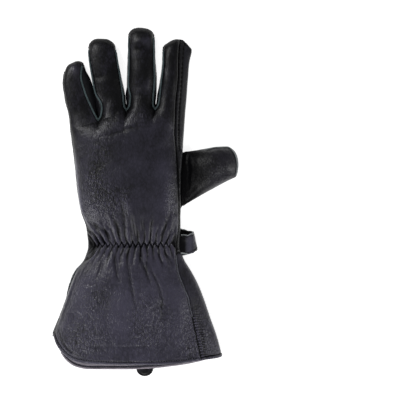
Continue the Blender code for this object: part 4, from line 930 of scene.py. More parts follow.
snap_silver = metal("snap_silver", (0.80, 0.81, 0.82), (0.58, 0.58, 0.59), 0.22, 1.0)
snap_dark = metal("snap_dark", (0.020, 0.020, 0.024), (0.045, 0.045, 0.05), 0.38, 0.0)


def nearest(values, value):
    """Number of the value nearest to the one asked for."""
    return int(np.argmin(np.abs(np.asarray(values) - value)))


def row_shares(length, count=None):
    """Where the rows of a finger or thumb lie, as shares of its length, with close ones at its tip."""
    first = np.array(TIP_STEPS) / length
    if count is None:
        count = int(round((1 - first[-1]) * length / FINGER_PITCH)) + 1
    return np.concatenate([first, np.linspace(first[-1], 1, count)[1:]])


def stretches(rows):
    """Places of the rows in stretches of (start, end, count), without the first start."""
    return np.concatenate([np.linspace(start, end, count + 1)[1:] for start, end, count in rows])


def lay_fingers(skin):
    """Adds the four fingers. Returns the knuckle rows, the last right side, and each finger's seam lines."""
    walls = ("palm_panel", "fourchette_little_ring", "fourchette_ring_middle", "fourchette_middle_index",
             "index_side_strip")
    fronts_of = ("palm_panel", "ring_front", "middle_front", "palm_panel")
    knuckle_back, knuckle_front, seams = [], [], []
    for number, finger in enumerate(FINGERS):
        shares = row_shares(finger_length(finger))
        back, right, front, left = map(np.stack, zip(*(finger_section(finger, share) for share in shares)))
        cap = nearest(shares, CAP_SHARE)
        wrap = nearest(shares, WRAP_SHARE) if finger["wrapped"] else cap
        skin.add("back_panel", back)
        for panel, grid, kept in ((fronts_of[number], front[:, ::-1], wrap), (walls[number + 1], right, cap)):
            skin.add("back_panel", grid[:kept + 1])
            skin.add(panel, grid[kept:])
        side = left[:, ::-1]
        skin.add("back_panel", side[:cap + 1])
        if number:
            skin.add(walls[number], side[cap:])
        else:
            lay_ulnar_side(skin, side[cap:])
        seams.append(dict(
            back_left=back[cap:, 0], back_right=back[cap:, -1], front_left=front[cap:, 0],
            front_right=front[cap:, -1], left=left[:, SIDE_COLUMNS - ULNAR_PALM], root=front[-1],
        ))
        knuckle_back.append(back[-1, min(number, 1):])
        knuckle_front.append(front[-1, min(number, 1):])
    return np.vstack(knuckle_back), np.vstack(knuckle_front), right[-1], seams


def lay_ulnar_side(skin, grid):
    """The ulnar side of the little finger or of the hand. Its lowest columns are the palm's."""
    skin.add("palm_panel", grid[:, :ULNAR_PALM + 1])
    skin.add("back_panel", grid[:, ULNAR_PALM:])


def lay_hand(skin, knuckle_back, knuckle_front, right_wall, little_left):
    """Adds the hand and the cuff below the knuckle rows, and returns their grids."""
    downs = stretches(HAND_ROWS)
    rows = [(knuckle_back, right_wall, knuckle_front, little_left)]
    rows += [hand_section(down, knuckle_back, knuckle_front) for down in downs]
    straight = rows[-1]
    back_hem = along(BACK_HEM, np.linspace(0, 1, len(knuckle_back)))
    front_hem = along(PALM_HEM, np.linspace(0, 1, len(knuckle_front)))
    rows += [cuff_section(share, straight, back_hem, front_hem) for share in stretches(CUFF_ROWS)]
    back, right, front, left = map(np.stack, zip(*rows))
    skin.add("back_panel", back)
    skin.add("palm_panel", front[:, ::-1])
    strip = nearest([KNUCKLES, *downs], STRIP_END)
    skin.add("index_side_strip", right[:strip + 1])
    skin.add("cuff_gusset", right[strip:])
    lay_ulnar_side(skin, left[:, ::-1])
    return dict(back=back, right=right, front=front, left=left, strip=strip)


def palm_height(plan):
    """How high the palm side lies at places (across, down), with its radial edge curled up."""
    across, down = plan[..., 0], plan[..., 1]
    lift = smooth_lookup(HAND_HEIGHTS, down, 2)
    side = smooth_lookup(HAND_PLAN, np.maximum(down, KNUCKLES), 3) - RADIAL_INSET
    curl = np.clip((across - side) / BASE_CURL_WIDE + 1, 0, 1)
    return lift + (BASE_CURL - np.minimum(lift, BASE_CURL)) * curl**2


def lay_thumb(skin):
    """The thumb: one tube folded at its lower edge, open at its root, with its base in the palm."""
    upper_line, lower_line = np.array(THUMB_UPPER), np.array(THUMB_LOWER)
    tip = lower_line[0] - upper_line[0]
    outward = np.array([tip[1], -tip[0]]) / np.linalg.norm(tip)
    length = np.linalg.norm(lower_line[0] - lower_line[-1])
    shares = row_shares(length, THUMB_ROWS)
    t = spread(THUMB_COLUMNS)
    mix = ((t + 1) / 2)[:, None]
    tops, lows = [], []
    for share, upper, lower in zip(shares, along(upper_line, shares), along(lower_line, shares)):
        gone = share * length
        rise = quarter_round(gone, TIP_ROUND)
        lean = np.clip(1 - np.abs(t + 0.25 * (1 - t * t)) ** 2.1, 0, 1) ** 0.6
        bulge = THUMB_TIP * tip_reach(gone) * lean
        plan = upper + (lower - upper) * mix + outward * bulge[:, None]
        edge, top = smooth_lookup(THUMB_EDGE_Z, share), smooth_lookup(THUMB_CROWN, share)
        tops.append(np.column_stack([plan, edge + (top - edge) * crown(t) * rise]))
        lows.append(np.column_stack([plan, edge * (1 - (1 - floor_curl(t, 2.2)) * rise)]))
    root = tops[-1]
    collar = root.copy()
    collar[:, 0] = THUMB_COLLAR
    tops += [root * (1 - share) + collar * share for share in (0.33, 0.67, 1.0)]
    inner = along(BASE_INNER, np.linspace(0, 1, THUMB_COLUMNS + 1))
    start = lows[-1]
    base = [start]
    for share in stretches([(0, 1, BASE_ROWS)]):
        upper, lower = along(BASE_UPPER, share), along(BASE_LOWER, share)
        plan = start[:, :2] * (1 - share) + inner * share
        plan = plan + (upper - plan[0]) * (1 - mix) + (lower - plan[-1]) * mix
        keep = max(0.0, 1 - 2.4 * share) ** 2
        base.append(np.column_stack([plan, start[:, 2] * keep + palm_height(plan) * (1 - keep)]))
    for rows in (tops, lows[::-1], base[::-1]):
        skin.add("thumb", np.stack(rows))
    return np.stack(tops)


def lay_thumb_gusset(skin):
    """The almond-shaped gusset between the palm and the thumb's base."""
    share = np.linspace(0, 1, GUSSET_ROWS)
    left, inner = along(GUSSET_LEFT, share), along(BASE_INNER, share)
    mix = np.linspace(0, 1, GUSSET_COLUMNS)[None, :, None]
    plan = inner[:, None] * (1 - mix) + left[:, None] * mix
    skin.add("thumb_gusset", np.concatenate([plan, palm_height(plan)[..., None]], axis=-1))


def distance_to(points, places):
    """Distance from each point to the nearest of the places."""
    best = np.full(len(points), FAR_AWAY)
    for start in range(0, len(places), 40):
        far = np.linalg.norm(points[:, None] - places[None, start:start + 40], axis=2)
        best = np.minimum(best, far.min(axis=1))
    return best


def seam_relief(points, far):
    """Leather pulled down into a seam, puffed and puckered beside it."""
    return 0.26 * bell(far - 2.6, 1.5) - 0.5 * bell(far, 0.8) + 0.30 * noise(points, 2.4, 5) * bell(far, 2.4)


def hem_relief(points, far):
    """A turned hem: a rounded band between the edge and its stitched groove."""
    band = 0.55 * np.clip(1 - np.abs((far - HEM_GROOVE * 0.52) / (HEM_GROOVE * 0.42)) ** 3, 0, 1)
    edge = 0.7 * np.clip(1 - far / 0.8, 0, 1) ** 2
    pucker = 0.22 * noise(points, 2.2, 8) * bell(far - HEM_GROOVE - 1, 2.2)
    return band - 0.65 * bell(far - HEM_GROOVE, 0.45) - edge + pucker


def suppleness(points):
    """Soft unevenness of hide that has been worn and lies empty."""
    return 0.42 * noise(points, 21, 1) + 0.20 * noise(points, 9, 2) + 0.07 * noise(points, 3.6, 4)


def wrinkles(points, size, seed):
    """Thin crooked valleys."""
    bend = shake(points, size * 2, seed) * size * 0.5
    return -ramp(0.16 - np.abs(noise(points + bend, size, seed + 4)), 0.16) ** 1.5


def patches(points, rows, total=0.0):
    """Adds soft-edged patches of (centre, radius, strength) to a value at each point."""
    for centre, radius, weight in rows:
        far = np.hypot(*((points[:, :2] - centre) / radius).T)
        total = total + weight * np.exp(-far**2)
    return total


def on_edge(up):
    """How much the leather stands upright, as it does at the turn between back and palm."""
    return ramp(0.4 - np.abs(up), 0.4)


def back_relief(points, up):
    """Relief, tone and grain of the back, by place on the sheet. Its tone is mostly painted light and shade.
    up is how far a point faces the back.
    """
    across, down = points[:, 0], points[:, 1]
    cuff = ramp(down - 255, 30)
    folds = creases(across, down, BACK_FOLDS) + creases(across, down, FINGER_FOLDS)
    ridges, gather_painted_light = gathers(across, down)
    grain = np.clip(patches(points, GRAIN_PATCHES, 0.14 + 0.2 * cuff), 0, 1)
    stretched = points * LONG_WRINKLES
    fine = 0.42 * wrinkles(stretched, 3.4, 11) + 0.25 * wrinkles(stretched, 7.5, 16) * (0.5 + cuff)
    relief = suppleness(points) * (0.35 + 0.65 * ramp(down - 105, 40))
    relief = relief + (folds + ridges + fine * (0.12 + grain)) * np.clip(up * 2.2, 0, 1)
    # Painted highlights on raised folds, painted shade in fold valleys, gathers and fine wrinkles
    tone = np.clip(folds * 0.45, -1.0, 0.7) + gather_painted_light + fine * grain * 0.9
    tone = patches(points, PAINTED_LIGHT_PATCHES, tone)
    # Painted light and shade: lighter down towards the cuff, darker on the fingers and across the wrist's
    # gathers
    tone += 0.72 * ramp(down - 160, 110) - 0.12 - 0.44 * ramp(126 - down, 14) - 0.44 * bell(down - 245, 17)
    # Painted shade where the back turns away from the top towards its edges
    tone -= 0.9 * np.clip(1 - np.abs(up) * 2.6, 0, 1) + 0.9 * ramp(0.9 - up, 0.4) * (up > 0)
    tone += 1.5 * creases(across, down, EDGE_SHINE)
    # Facing down, a plain darker tone replaces the painted light and shade of the top
    under = np.clip(-up * 2, 0, 1)
    return relief, tone * (1 - under) + under * (0.1 * noise(points, 8, 33) - 0.48), grain


def plain_relief(points, up):
    """Relief, tone and grain of the small panels: sides, fourchettes and the fingers' fronts. The tone varies
    at random, with painted shade where the leather stands upright.
    """
    relief = 0.5 * suppleness(points) + 0.10 * wrinkles(points * (1.0, 0.5, 1.0), 3.2, 21)
    tone = 0.2 * noise(points, 12, 30) - 0.1 - 0.8 * on_edge(up)
    return relief, tone, np.full(len(points), 0.25)


def thumb_relief(points, up):
    """The thumb, with a painted shadow of the hand over the top of its root, painted light on its top towards
    the tip, and painted light and shade on its folds.
    """
    relief, tone, _ = plain_relief(points, up)
    across, down = points[:, 0], points[:, 1]
    above, out = np.clip(up * 3, 0, 1), ramp(across - 194, 20)
    folds = creases(across, down, THUMB_FOLDS) * above
    tone = tone + folds * 0.5 + (0.55 * out - 1.35 * (1 - out)) * above
    return relief + folds, tone, patches(points, THUMB_GRAIN, 0.3)


def palm_relief(points, up):
    """The palm's folds and fine wrinkles. Below the fingertips the leather is drawn in a little. Its tone is
    painted light: lighter on raised folds, darker in valleys and wrinkles and where the leather stands
    upright.
    """
    across, down = points[:, 0], points[:, 1]
    folds = creases(across, down, PALM_FOLDS)
    fine = 0.32 * wrinkles(points * LONG_WRINKLES, 3.4, 41) + 0.3 * wrinkles(points, 9.0, 47)
    grain = np.clip(0.25 + 0.4 * noise(points, 30, 44), 0.08, 0.8)
    tone = np.clip(folds * 0.3 + fine * 0.5, -1, 1) - 0.8 * on_edge(up)
    return 0.7 * suppleness(points) + folds + fine * 0.5 - 0.9 * ramp(down - 92, 16), tone, grain


def gusset_relief(points, up):
    """Puckers that run out from the cuff's side seam."""
    across, down = points[:, 0], points[:, 1]
    beside = across - smooth_lookup(HAND_PLAN, down, 2)
    seam = bell(beside - 3.2, 2.2) * ramp(down - 306, 14)
    ribs = np.sin(down * 2.5 + 1.5 * noise(points, 6, 51)) * seam
    relief, tone, grain = plain_relief(points, up)
    lower = ramp(down - 300, 40)
    # Painted highlights on the puckers' ribs with painted shade between them; the tone is also darker along
    # the seam and lighter lower down
    return relief + 0.5 * ribs, tone + ribs - 0.45 * seam + 0.1 + 0.2 * lower, grain + 0.4 * lower


def strip_relief(points, up):
    """The index side: a narrow strip between two sewn grooves, then the plain side."""
    relief, tone, grain = plain_relief(points, up)
    across, down = points[:, 0], points[:, 1]
    line = np.column_stack([along(STRIP_LINE, np.linspace(0, 1, 60)), np.zeros(60)])
    groove = distance_to(points * (1, 1, 0), even(line, PLACE_PITCH))
    line_across, line_down = np.transpose(STRIP_LINE)
    facing = np.clip(up * 3, 0, 1)
    inner = (across < np.interp(down, line_down, line_across)) * facing
    beads = np.sin(down * 2.4) * bell(groove - 0.2, 0.9)
    beads = beads + 0.8 * np.sin(down * 2.4 + 1.5) * bell(groove - 2.7, 0.9) * inner
    relief = relief - 0.9 * bell(groove, 0.7) * facing + 0.16 * beads
    strip_highlight = patches(points, STRIP_HIGHLIGHTS)
    # Painted shade in the grooves, painted highlights beside the groove, on the beads and on the strip's
    # highlight patches
    tone = tone - 1.3 * bell(groove, 0.9) + 0.5 * bell(groove - 2.0, 1.1) + 1.5 * strip_highlight + 0.7 * beads
    return relief, tone, grain * 0.5


def panel_piece(skin, panel, relief, material, hem=None):
    """The finished wall of one panel, with relief outside, which stands for the CAD node of its name."""
    outer, normals, faces, edge = shell(skin, panel)
    height, tone, grain = relief(outer, normals[:, 2])
    border = outer[edge & ~covered_joint(outer)]
    if hem is not None:
        hem = even(hem, PLACE_PITCH)
        far = distance_to(outer, hem)
        border = border[distance_to(border, hem) > 1.5]
        height = height * np.clip((far - 2) / 8, 0.25, 1) + hem_relief(outer, far)
        # Painted highlight on the hem's rounded band, painted shade in its stitched groove
        tone = tone + 0.5 * np.clip(1 - (far / 2.6) ** 4, 0, 1) - 1.5 * bell(far - HEM_GROOVE, 0.55)
    far = distance_to(outer, border)
    height = height * np.clip(far / 3, 0.15, 1) + seam_relief(outer, far)
    # Painted shade along the seams, and a painted highlight on the puffed leather beside them
    tone = tone - bell(far, 0.9) + 0.25 * bell(far - 2.4, 1.2)
    moved = outer + normals * height[:, None]
    moved[:, 2] = np.maximum(moved[:, 2], FLOOR_Z)
    inner = moved - normals * LEATHER
    inner[:, 2] = np.maximum(inner[:, 2], INNER_FLOOR_Z)
    return make_piece(f"{panel}_leather", (np.vstack([moved, inner]), clean_faces(faces)), [material],
                      (panel,), 60, np.tile(tone, 2), np.tile(grain, 2))


def frames(line, facing):
    """Unit directions along a line, across it, and out of the leather."""
    run = unit(np.gradient(line, axis=0))
    out = unit(facing - run * np.sum(facing * run, axis=1, keepdims=True))
    return run, np.cross(run, out), out


def ring_of(number, size):
    """The point numbers of one ring among rings of a size."""
    return list(range(number * size, (number + 1) * size))


def tube_faces(rings, size):
    """Faces between rings of points that follow each other."""
    turns = [(k * size, i, (i + 1) % size) for k in range(rings - 1) for i in range(size)]
    return [[k + i, k + j, k + size + j, k + size + i] for k, i, j in turns]


def lip(line, facing, width, height, seed):
    """A raw seam's two plies standing up from it. Returns points, faces and each face's material."""
    _, side, out = frames(line, facing)
    place = lengths(line)
    ends = np.clip(np.minimum(place, place[-1] - place) / 2.5, 0.15, 1)
    wave = 1 + 0.16 * noise(line, 5.5, seed) + 0.10 * noise(line, 2.1, seed + 1)
    shift = 0.14 * noise(line, 4.0, seed + 2)
    rings = []
    for u, v in LIP_PROFILE:
        beside = u * width * (0.8 + 0.2 * ends) + shift
        up = v * height * (ends * wave if v > 0 else 1)
        rings.append(line + side * beside[:, None] + out * np.reshape(up, (-1, 1)))
    size, count = len(LIP_PROFILE), len(line)
    faces = tube_faces(count, size) + [ring_of(0, size)[::-1], ring_of(count - 1, size)]
    kinds = ([0] + [1] * (size - 3) + [0, 0]) * (count - 1) + [1, 1]
    return np.stack(rings, axis=1).reshape(-1, 3), faces, kinds


def merged(parts):
    """Several (points, faces, kinds) as one."""
    points, faces, kinds, start = [], [], [], 0
    for part_points, part_faces, part_kinds in parts:
        points.append(part_points)
        faces += [[p + start for p in ring] for ring in part_faces]
        kinds += part_kinds
        start += len(part_points)
    return np.vstack(points), faces, kinds


def stitches(line, facing, pitch, long, thick, lift, turn=0.0):
    """Separate lockstitches along a line, each a short arched thread."""
    line, facing = np.hsplit(even(np.hstack([line, facing]), pitch), 2)
    run, side, out = frames(line, facing)
    rings, sides = len(THREAD_RINGS), THREAD_SIDES
    faces = [ring_of(0, sides)[::-1], ring_of(rings - 1, sides)] + tube_faces(rings, sides)
    parts = []
    for k in range(len(line)):
        ahead = run[k] * math.cos(turn) + side[k] * math.sin(turn)
        beside = side[k] * math.cos(turn) - run[k] * math.sin(turn)
        points = []
        for s, rise, girth in THREAD_RINGS:
            centre = line[k] + ahead * s * long + out[k] * (rise * thick + lift - thick * 0.6)
            for angle in np.arange(sides) * 2 * math.pi / sides:
                points.append(centre + (beside * math.cos(angle) + out[k] * math.sin(angle)) * thick * girth)
        parts.append((np.array(points), faces, [0] * len(faces)))
    return merged(parts)


def build_panels():
    """Makes the panels. Returns their skin, the hand's grids, seam lines, and the thumb's skin and top."""
    skin, thumb_skin, gusset_skin = Skin(), Skin(), Skin()
    knuckle_back, knuckle_front, right_wall, seams = lay_fingers(skin)
    hand = lay_hand(skin, knuckle_back, knuckle_front, right_wall, finger_section(FINGERS[0], 1)[3])
    thumb = lay_thumb(thumb_skin)
    lay_thumb_gusset(gusset_skin)
    for part in (skin, thumb_skin, gusset_skin):
        part.settle()
    panel_piece(skin, "back_panel", back_relief, back_leather, hand["back"][-1])
    palm = panel_piece(skin, "palm_panel", palm_relief, palm_leather, hand["front"][-1])
    for panel in ("ring_front", "middle_front"):
        panel_piece(skin, panel, plain_relief, palm_leather)
    for panel in ("fourchette_little_ring", "fourchette_ring_middle", "fourchette_middle_index"):
        panel_piece(skin, panel, plain_relief, side_leather)
    panel_piece(skin, "index_side_strip", strip_relief, side_leather)
    panel_piece(skin, "cuff_gusset", gusset_relief, back_leather, hand["right"][-1])
    panel_piece(thumb_skin, "thumb", thumb_relief, palm_leather)
    panel_piece(gusset_skin, "thumb_gusset", plain_relief, palm_leather)
    cut_thumb_hole(palm)
    return skin, hand, seams, thumb_skin, thumb


def offset_outline(outline, distance):
    """A closed outline moved outwards, or inwards if the distance is below 0."""
    ahead = unit(np.roll(outline, -1, axis=0) - outline)
    mean = unit(ahead + np.roll(ahead, 1, axis=0))
    x, y = outline.T
    area = np.sum(x * np.roll(y, -1) - np.roll(x, -1) * y)
    return outline + np.column_stack([mean[:, 1], -mean[:, 0]]) * np.sign(area) * distance


def cut_thumb_hole(palm):
    """Opens the palm where the gusset and the thumb's base are set in."""
    left = along(GUSSET_LEFT, np.linspace(0, 1, 40))
    lower = along(BASE_LOWER, np.linspace(0, 1, 16))[::-1]
    outline = offset_outline(np.vstack([left, lower, HOLE_CORNERS]), 0.3)
    count = len(outline)
    points = to_frame([(x, y, z) for z in HOLE_HEIGHTS for x, y in outline])
    faces = [ring_of(0, count)[::-1], ring_of(1, count)] + tube_faces(2, count)
    cutter = add_object("thumb_hole", make_mesh("thumb_hole", points.tolist(), faces))
    cut = palm.modifiers.new("thumb_hole", "BOOLEAN")
    cut.operation, cut.solver, cut.object = "DIFFERENCE", "EXACT", cutter
    bpy.context.view_layer.update()
    done = bpy.data.meshes.new_from_object(palm.evaluated_get(bpy.context.evaluated_depsgraph_get()))
    palm.modifiers.remove(cut)
    palm.data = done
    bpy.data.objects.remove(cutter, do_unlink=True)
    done.set_sharp_from_angle(angle=math.radians(60))


def facing_of(skin, line, lift):
    """Directions out of the leather at a seam's points, turned up or down by lift."""
    near = [np.argmin(np.sum((skin.points - place) ** 2, axis=1)) for place in line]
    return unit(skin.normals[near] + UP * lift)


def seam_piece(name, lines, skin, lift, edge, width, height):
    """The lips of some seams as one piece, and the stitches on both sides of them as another."""
    lips, threads = [], []
    for number, line in enumerate(lines):
        line = even(line, SEAM_PITCH)
        facing = facing_of(skin, line, lift)
        lips.append(lip(line, facing, width, height, number * 3))
        _, side, out = frames(line, facing)
        for way in (-1, 1):
            beside = line + side * way * width * 0.5 + out * height * 0.35
            threads.append(stitches(beside, side * way, 2.6, 1.8, 0.2, 0.05))
    make_piece(name, merged(lips), [side_leather, edge], sharp=40)
    make_piece(name + "_thread", merged(threads), [black_thread])


def build_seams(skin, hand, seams, thumb_skin, thumb):
    """The seams' lips and threads, the loose ply on the ulnar side, and the cuff's puckered side seam."""
    for face, lift, edge, width, height in (("back", 0.9, cut_edge, 1.7, 1.3),
                                            ("front", 0.0, dark_edge, 1.5, 1.0)):
        lines = [np.vstack([one[face + "_right"], other[face + "_left"][-2::-1]])
                 for one, other in zip(seams, seams[1:])]
        seam_piece(face + "_seam_edges", lines, skin, lift, edge, width, height)
    ulnar = np.vstack([seams[0]["left"][3:], hand["left"][1:, SIDE_COLUMNS - ULNAR_PALM]])
    seam_piece("ulnar_seam_edge", [ulnar], skin, 0.0, cut_edge, 1.5, 1.0)
    line = even(ulnar[(ulnar[:, 1] > LOOSE_PLY[0]) & (ulnar[:, 1] < LOOSE_PLY[1])], SEAM_PITCH)
    high = 0.8 + 2.5 * np.sin(math.pi * np.linspace(0, 1, len(line))) ** 1.5
    make_piece("ulnar_loose_ply", lip(line, facing_of(skin, line, 0.0), 1.3, high, 61),
               [side_leather, pale_edge], sharp=40)
    radial = hand["back"][hand["strip"] + 3:-3, -1]
    bare = nearest(radial[:, 1], BARE_FROM)
    seam_piece("cuff_seam_edge", [radial[:bare]], skin, 1.2, grey_edge, 1.1, 0.7)
    line = even(radial[bare:], SEAM_PITCH)
    facing = facing_of(skin, line, 0.6)
    side = frames(line, facing)[1]
    shape = merged([stitches(line + side * far, facing, 2.7, long, 0.7, 0.34, math.pi / 2)
                    for far, long in ((-2.1, 2.6), (2.3, 3.6))])
    # The puckers take a light tone, a painted highlight on their ridges
    make_piece("cuff_seam_puckers", shape, [back_leather], sharp=60,
               tone=np.full(len(shape[0]), 1.25))
    make_piece("cuff_seam_thread", stitches(line, facing, 2.5, 1.9, 0.25, 0.05),
               [black_thread])
    start, column, end = THUMB_SEAM
    inside = nearest(TIP_STEPS, 0.9)
    line = even(np.vstack([thumb[start:inside:-1, column], thumb[inside, column:end]]), PLACE_PITCH)
    points, faces, _ = lip(line, facing_of(thumb_skin, line, 2.0), 1.0, 1.3, 90)
    make_piece("thumb_seam_edge", (points, faces), [pale_edge], sharp=40)
    base = np.vstack([seams[1]["root"], seams[2]["root"]])
    seam_piece("palm_base_seam", [base], skin, 0.0, dark_edge, 1.3, 0.5)


def path_normals(path):
    """Directions out of a strap's path of (across, 0, z)."""
    run = unit(np.gradient(path, axis=0))
    return np.column_stack([-run[:, 2], run[:, 1], run[:, 0]])


def ribbon(path, upper, lower):
    """A doubled strap along a path, with rounded edges and sewn grooves, and the painted shade of its
    grooves.
    """
    far, high, groove = np.transpose(STRAP_EDGE)
    middle = np.linspace(0.28, 0.72, 8)
    face = np.concatenate([high, np.ones(8), high[::-1]])
    rise = np.concatenate([face, [0], -face[::-1], [0]])[:, None]
    rings = []
    for place, out, top, low in zip(path, path_normals(path), upper, lower):
        wide = low - top
        downs = top + wide * np.concatenate([far / wide, middle, 1 - far[::-1] / wide])
        ring = place + out * rise * STRAP_THICK / 2
        ring[:, 1] = np.concatenate([downs, [low - 0.12], downs[::-1], [top + 0.12]])
        rings.append(ring)
    count, size = len(path), len(rise)
    faces = tube_faces(count, size) + [ring_of(0, size), ring_of(count - 1, size)[::-1]]
    half = size // 2
    cut = (half - 2, half - 1, half, size - 2, size - 1, 0)
    kinds = [int(i in cut) for i in range(size)] * (count - 1) + [1, 1]
    shade = np.concatenate([groove, np.zeros(8), groove[::-1], [0]])
    return np.vstack(rings), faces, kinds, np.tile(np.concatenate([shade, shade]), count)


def strap_dull(points):
    """The tone of a strap's hidden face."""
    return 0.3 * noise(points, 7, 64) - 0.7


def flap_bend(points):
    """Slants and crumples the flap's fold, and rounds its free end."""
    x, y = points[:, 0].copy(), points[:, 1].copy()
    crumple = 0.35 * shake(points, 5.0, 70) + 0.25 * shake(points, 2.2, 80)
    points += crumple * ramp(x - 181.0, 3)[:, None] * (0.8, 1.9, 1.3)
    points[:, 0] += (y - 238) * FLAP_SLANT * ramp(x - FLAP_LEANS_FROM, 12)
    arc = np.sqrt(np.maximum(0, 1 - ((y - FLAP_MIDDLE) / 11.6) ** 2))
    points[:, 0] += (1 - arc) * 5 * np.clip(1 - (x - FLAP_END) / 9, 0, 1)
    return points


def flap_path():
    """The flap's course: out of the seam, round the fold and back under the band."""
    low = STRAP_TOP_Z - STRAP_THICK * 1.5 - SEAT_GAP
    radius, middle = (FLAP_ROOT_Z - low) / 2, (FLAP_ROOT_Z + low) / 2
    path = [(x, 0, FLAP_ROOT_Z) for x in np.linspace(FLAP_ROOT, FLAP_TURN, 10)[:-1]]
    for angle in np.linspace(math.pi / 2, -math.pi / 2, 22):
        path.append((FLAP_TURN + radius * 0.8 * math.cos(angle), 0, middle + radius * math.sin(angle)))
    return np.array(path + [(x, 0, low) for x in np.linspace(FLAP_TURN - 1.2, FLAP_END, 32)])


def build_strap():
    """The band sewn on the palm, the flap that folds back over its end with frayed edges, and the thread."""
    across = np.linspace(*BAND_ENDS, 60)
    band = np.column_stack([across, across * 0, across * 0 + STRAP_TOP_Z - STRAP_THICK / 2])
    band_edges = [smooth_lookup(edge, across) for edge in (BAND_UPPER, BAND_LOWER)]
    *shape, groove = ribbon(band, *band_edges)
    make_piece("strap_band_leather", shape, [strap_leather, dark_edge], ("strap_band",), 40,
               strap_dull(shape[0]) + groove)
    flap = flap_path()
    share = lengths(flap)
    share /= share[-1]
    flap_edges = [smooth_lookup(edge, share) for edge in (FLAP_UPPER, FLAP_LOWER)]
    points, *shape, groove = ribbon(flap, *flap_edges)
    points = flap_bend(points)
    # The upper ply takes the painted light and shade across it; the lower one the strap's hidden-face tone
    tone = np.where(points[:, 2] > 7.5, np.interp(points[:, 0], *np.transpose(FLAP_PAINTED_LIGHT)), strap_dull(points))
    make_piece("strap_flap_leather", (points, *shape), [strap_leather, cut_edge],
               ("strap_flap",), 40, tone + groove)
    edge = flap_bend(np.column_stack([flap[:, 0], flap_edges[0] + 0.35, flap[:, 2] + 0.5]))
    lips = []
    for line, width, high, seed in ((edge[1:24], 0.9, 0.8, 95), (edge[32:44], 0.9, 0.7, 96),
                                    (np.array(FLAP_FRAY), 1.5, 1.0, 97)):
        line = even(line, 0.6)
        line = line + 0.45 * shake(line, 1.8, seed)
        lips.append(lip(line, np.tile((0.0, -0.3, 0.95), (len(line), 1)), width, high, seed))
    make_piece("strap_flap_edges", merged(lips), [strap_leather, pale_edge], sharp=40)
    threads = []
    normals = path_normals(flap)
    for edge, inset in zip(flap_edges, (SEWN_INSET, -SEWN_INSET)):
        for way in (1, -1):
            line = np.column_stack([flap[:, 0], edge + inset, flap[:, 2]])
            line = flap_bend(line + normals * way * STRAP_THICK * 0.42)
            threads.append(stitches(line[:-4], normals[:-4] * way, 2.9, 2.1, 0.24, 0.12))
    for edge, inset in zip(band_edges, (SEWN_INSET, -SEWN_INSET)):
        line = np.column_stack([across, edge + inset, band[:, 2] - STRAP_THICK * 0.42])[1:-1]
        threads.append(stitches(line, np.tile(-UP, (len(line), 1)), 2.9, 2.1, 0.24, 0.12))
    make_piece("strap_thread", merged(threads), [black_thread])


def turned(name, at, seat, rings, material, node, sides=48):
    """A round fitting that hangs from its seat, with (radius, depth) rings listed downwards."""
    rings = [(0.001, rings[0][1]), *rings, (0.001, rings[-1][1] + 0.02)]
    points = [(at[0] + r * math.cos(a), at[1] - r * math.sin(a), seat - d)
              for r, d in rings for a in np.linspace(0, 2 * math.pi, sides, endpoint=False)]
    faces = [[a, d, c, b] for a, b, c, d in tube_faces(len(rings), sides)]
    make_piece(name, (np.array(points), faces), [material], (node,), 35)


def build_snaps():
    """The silver stud under the band, and the dark cap under the flap."""
    under_band = STRAP_TOP_Z - STRAP_THICK - SEAT_GAP
    under_flap = under_band - STRAP_THICK - SEAT_GAP
    turned("snap_stud_metal", STUD_AT, under_band, STUD_RINGS, snap_silver, "snap_stud")
    turned("snap_cap_enamel", CAP_AT, under_flap, CAP_RINGS, snap_dark, "snap_cap")


def arc(across, down, wide, high, start, end, count):
    """Points on part of an ellipse, between angles counted in half turns."""
    angles = np.linspace(start, end, count) * math.pi
    return np.column_stack([across + wide * np.cos(angles), down + high * np.sin(angles)])


def build_tab():
    """The patch under the palm's hem, with a half-round tongue, rounded edges and a sewn border."""
    left = TAB_ACROSS - TAB_HALF + TAB_CORNER
    side = np.vstack([arc(left, TAB_DOWN + TAB_CORNER, TAB_CORNER, TAB_CORNER, 1.5, 1, 9),
                      arc(left, TAB_NECK - TAB_CORNER, TAB_CORNER, TAB_CORNER, 1, 0.5, 9)])
    tongue = arc(TAB_ACROSS, TAB_NECK + 0.1, TAB_ROUND, TAB_ROUND * 0.9, 1, 0, 33)
    mirrored = np.column_stack([2 * TAB_ACROSS - side[::-1, 0], side[::-1, 1]])
    outline = even(np.vstack([side, tongue, mirrored, side[:1]]), PLACE_PITCH)[:-1]
    size, count = len(outline), len(TAB_PROFILE)
    rings = [np.column_stack([offset_outline(outline, -inset), np.full(size, z)]) for inset, z in TAB_PROFILE]
    points = np.vstack(rings)
    faces = [ring_of(0, size)[::-1], *tube_faces(count, size), ring_of(count - 1, size)]
    kinds = [0, *np.repeat([int(ring in TAB_EDGE) for ring in range(count - 1)], size), 0]
    make_piece("pull_tab_leather", (points, faces, kinds), [strap_leather, dark_edge],
               ("pull_tab",), 40, 0.3 * noise(points, 7, 64) - 0.45)
    line = np.vstack([rings[TAB_GROOVE], rings[TAB_GROOVE][:1]])
    make_piece("pull_tab_thread", stitches(line, np.tile(UP, (len(line), 1)), 2.6, 1.9, 0.22, 0.1),
               [black_thread])


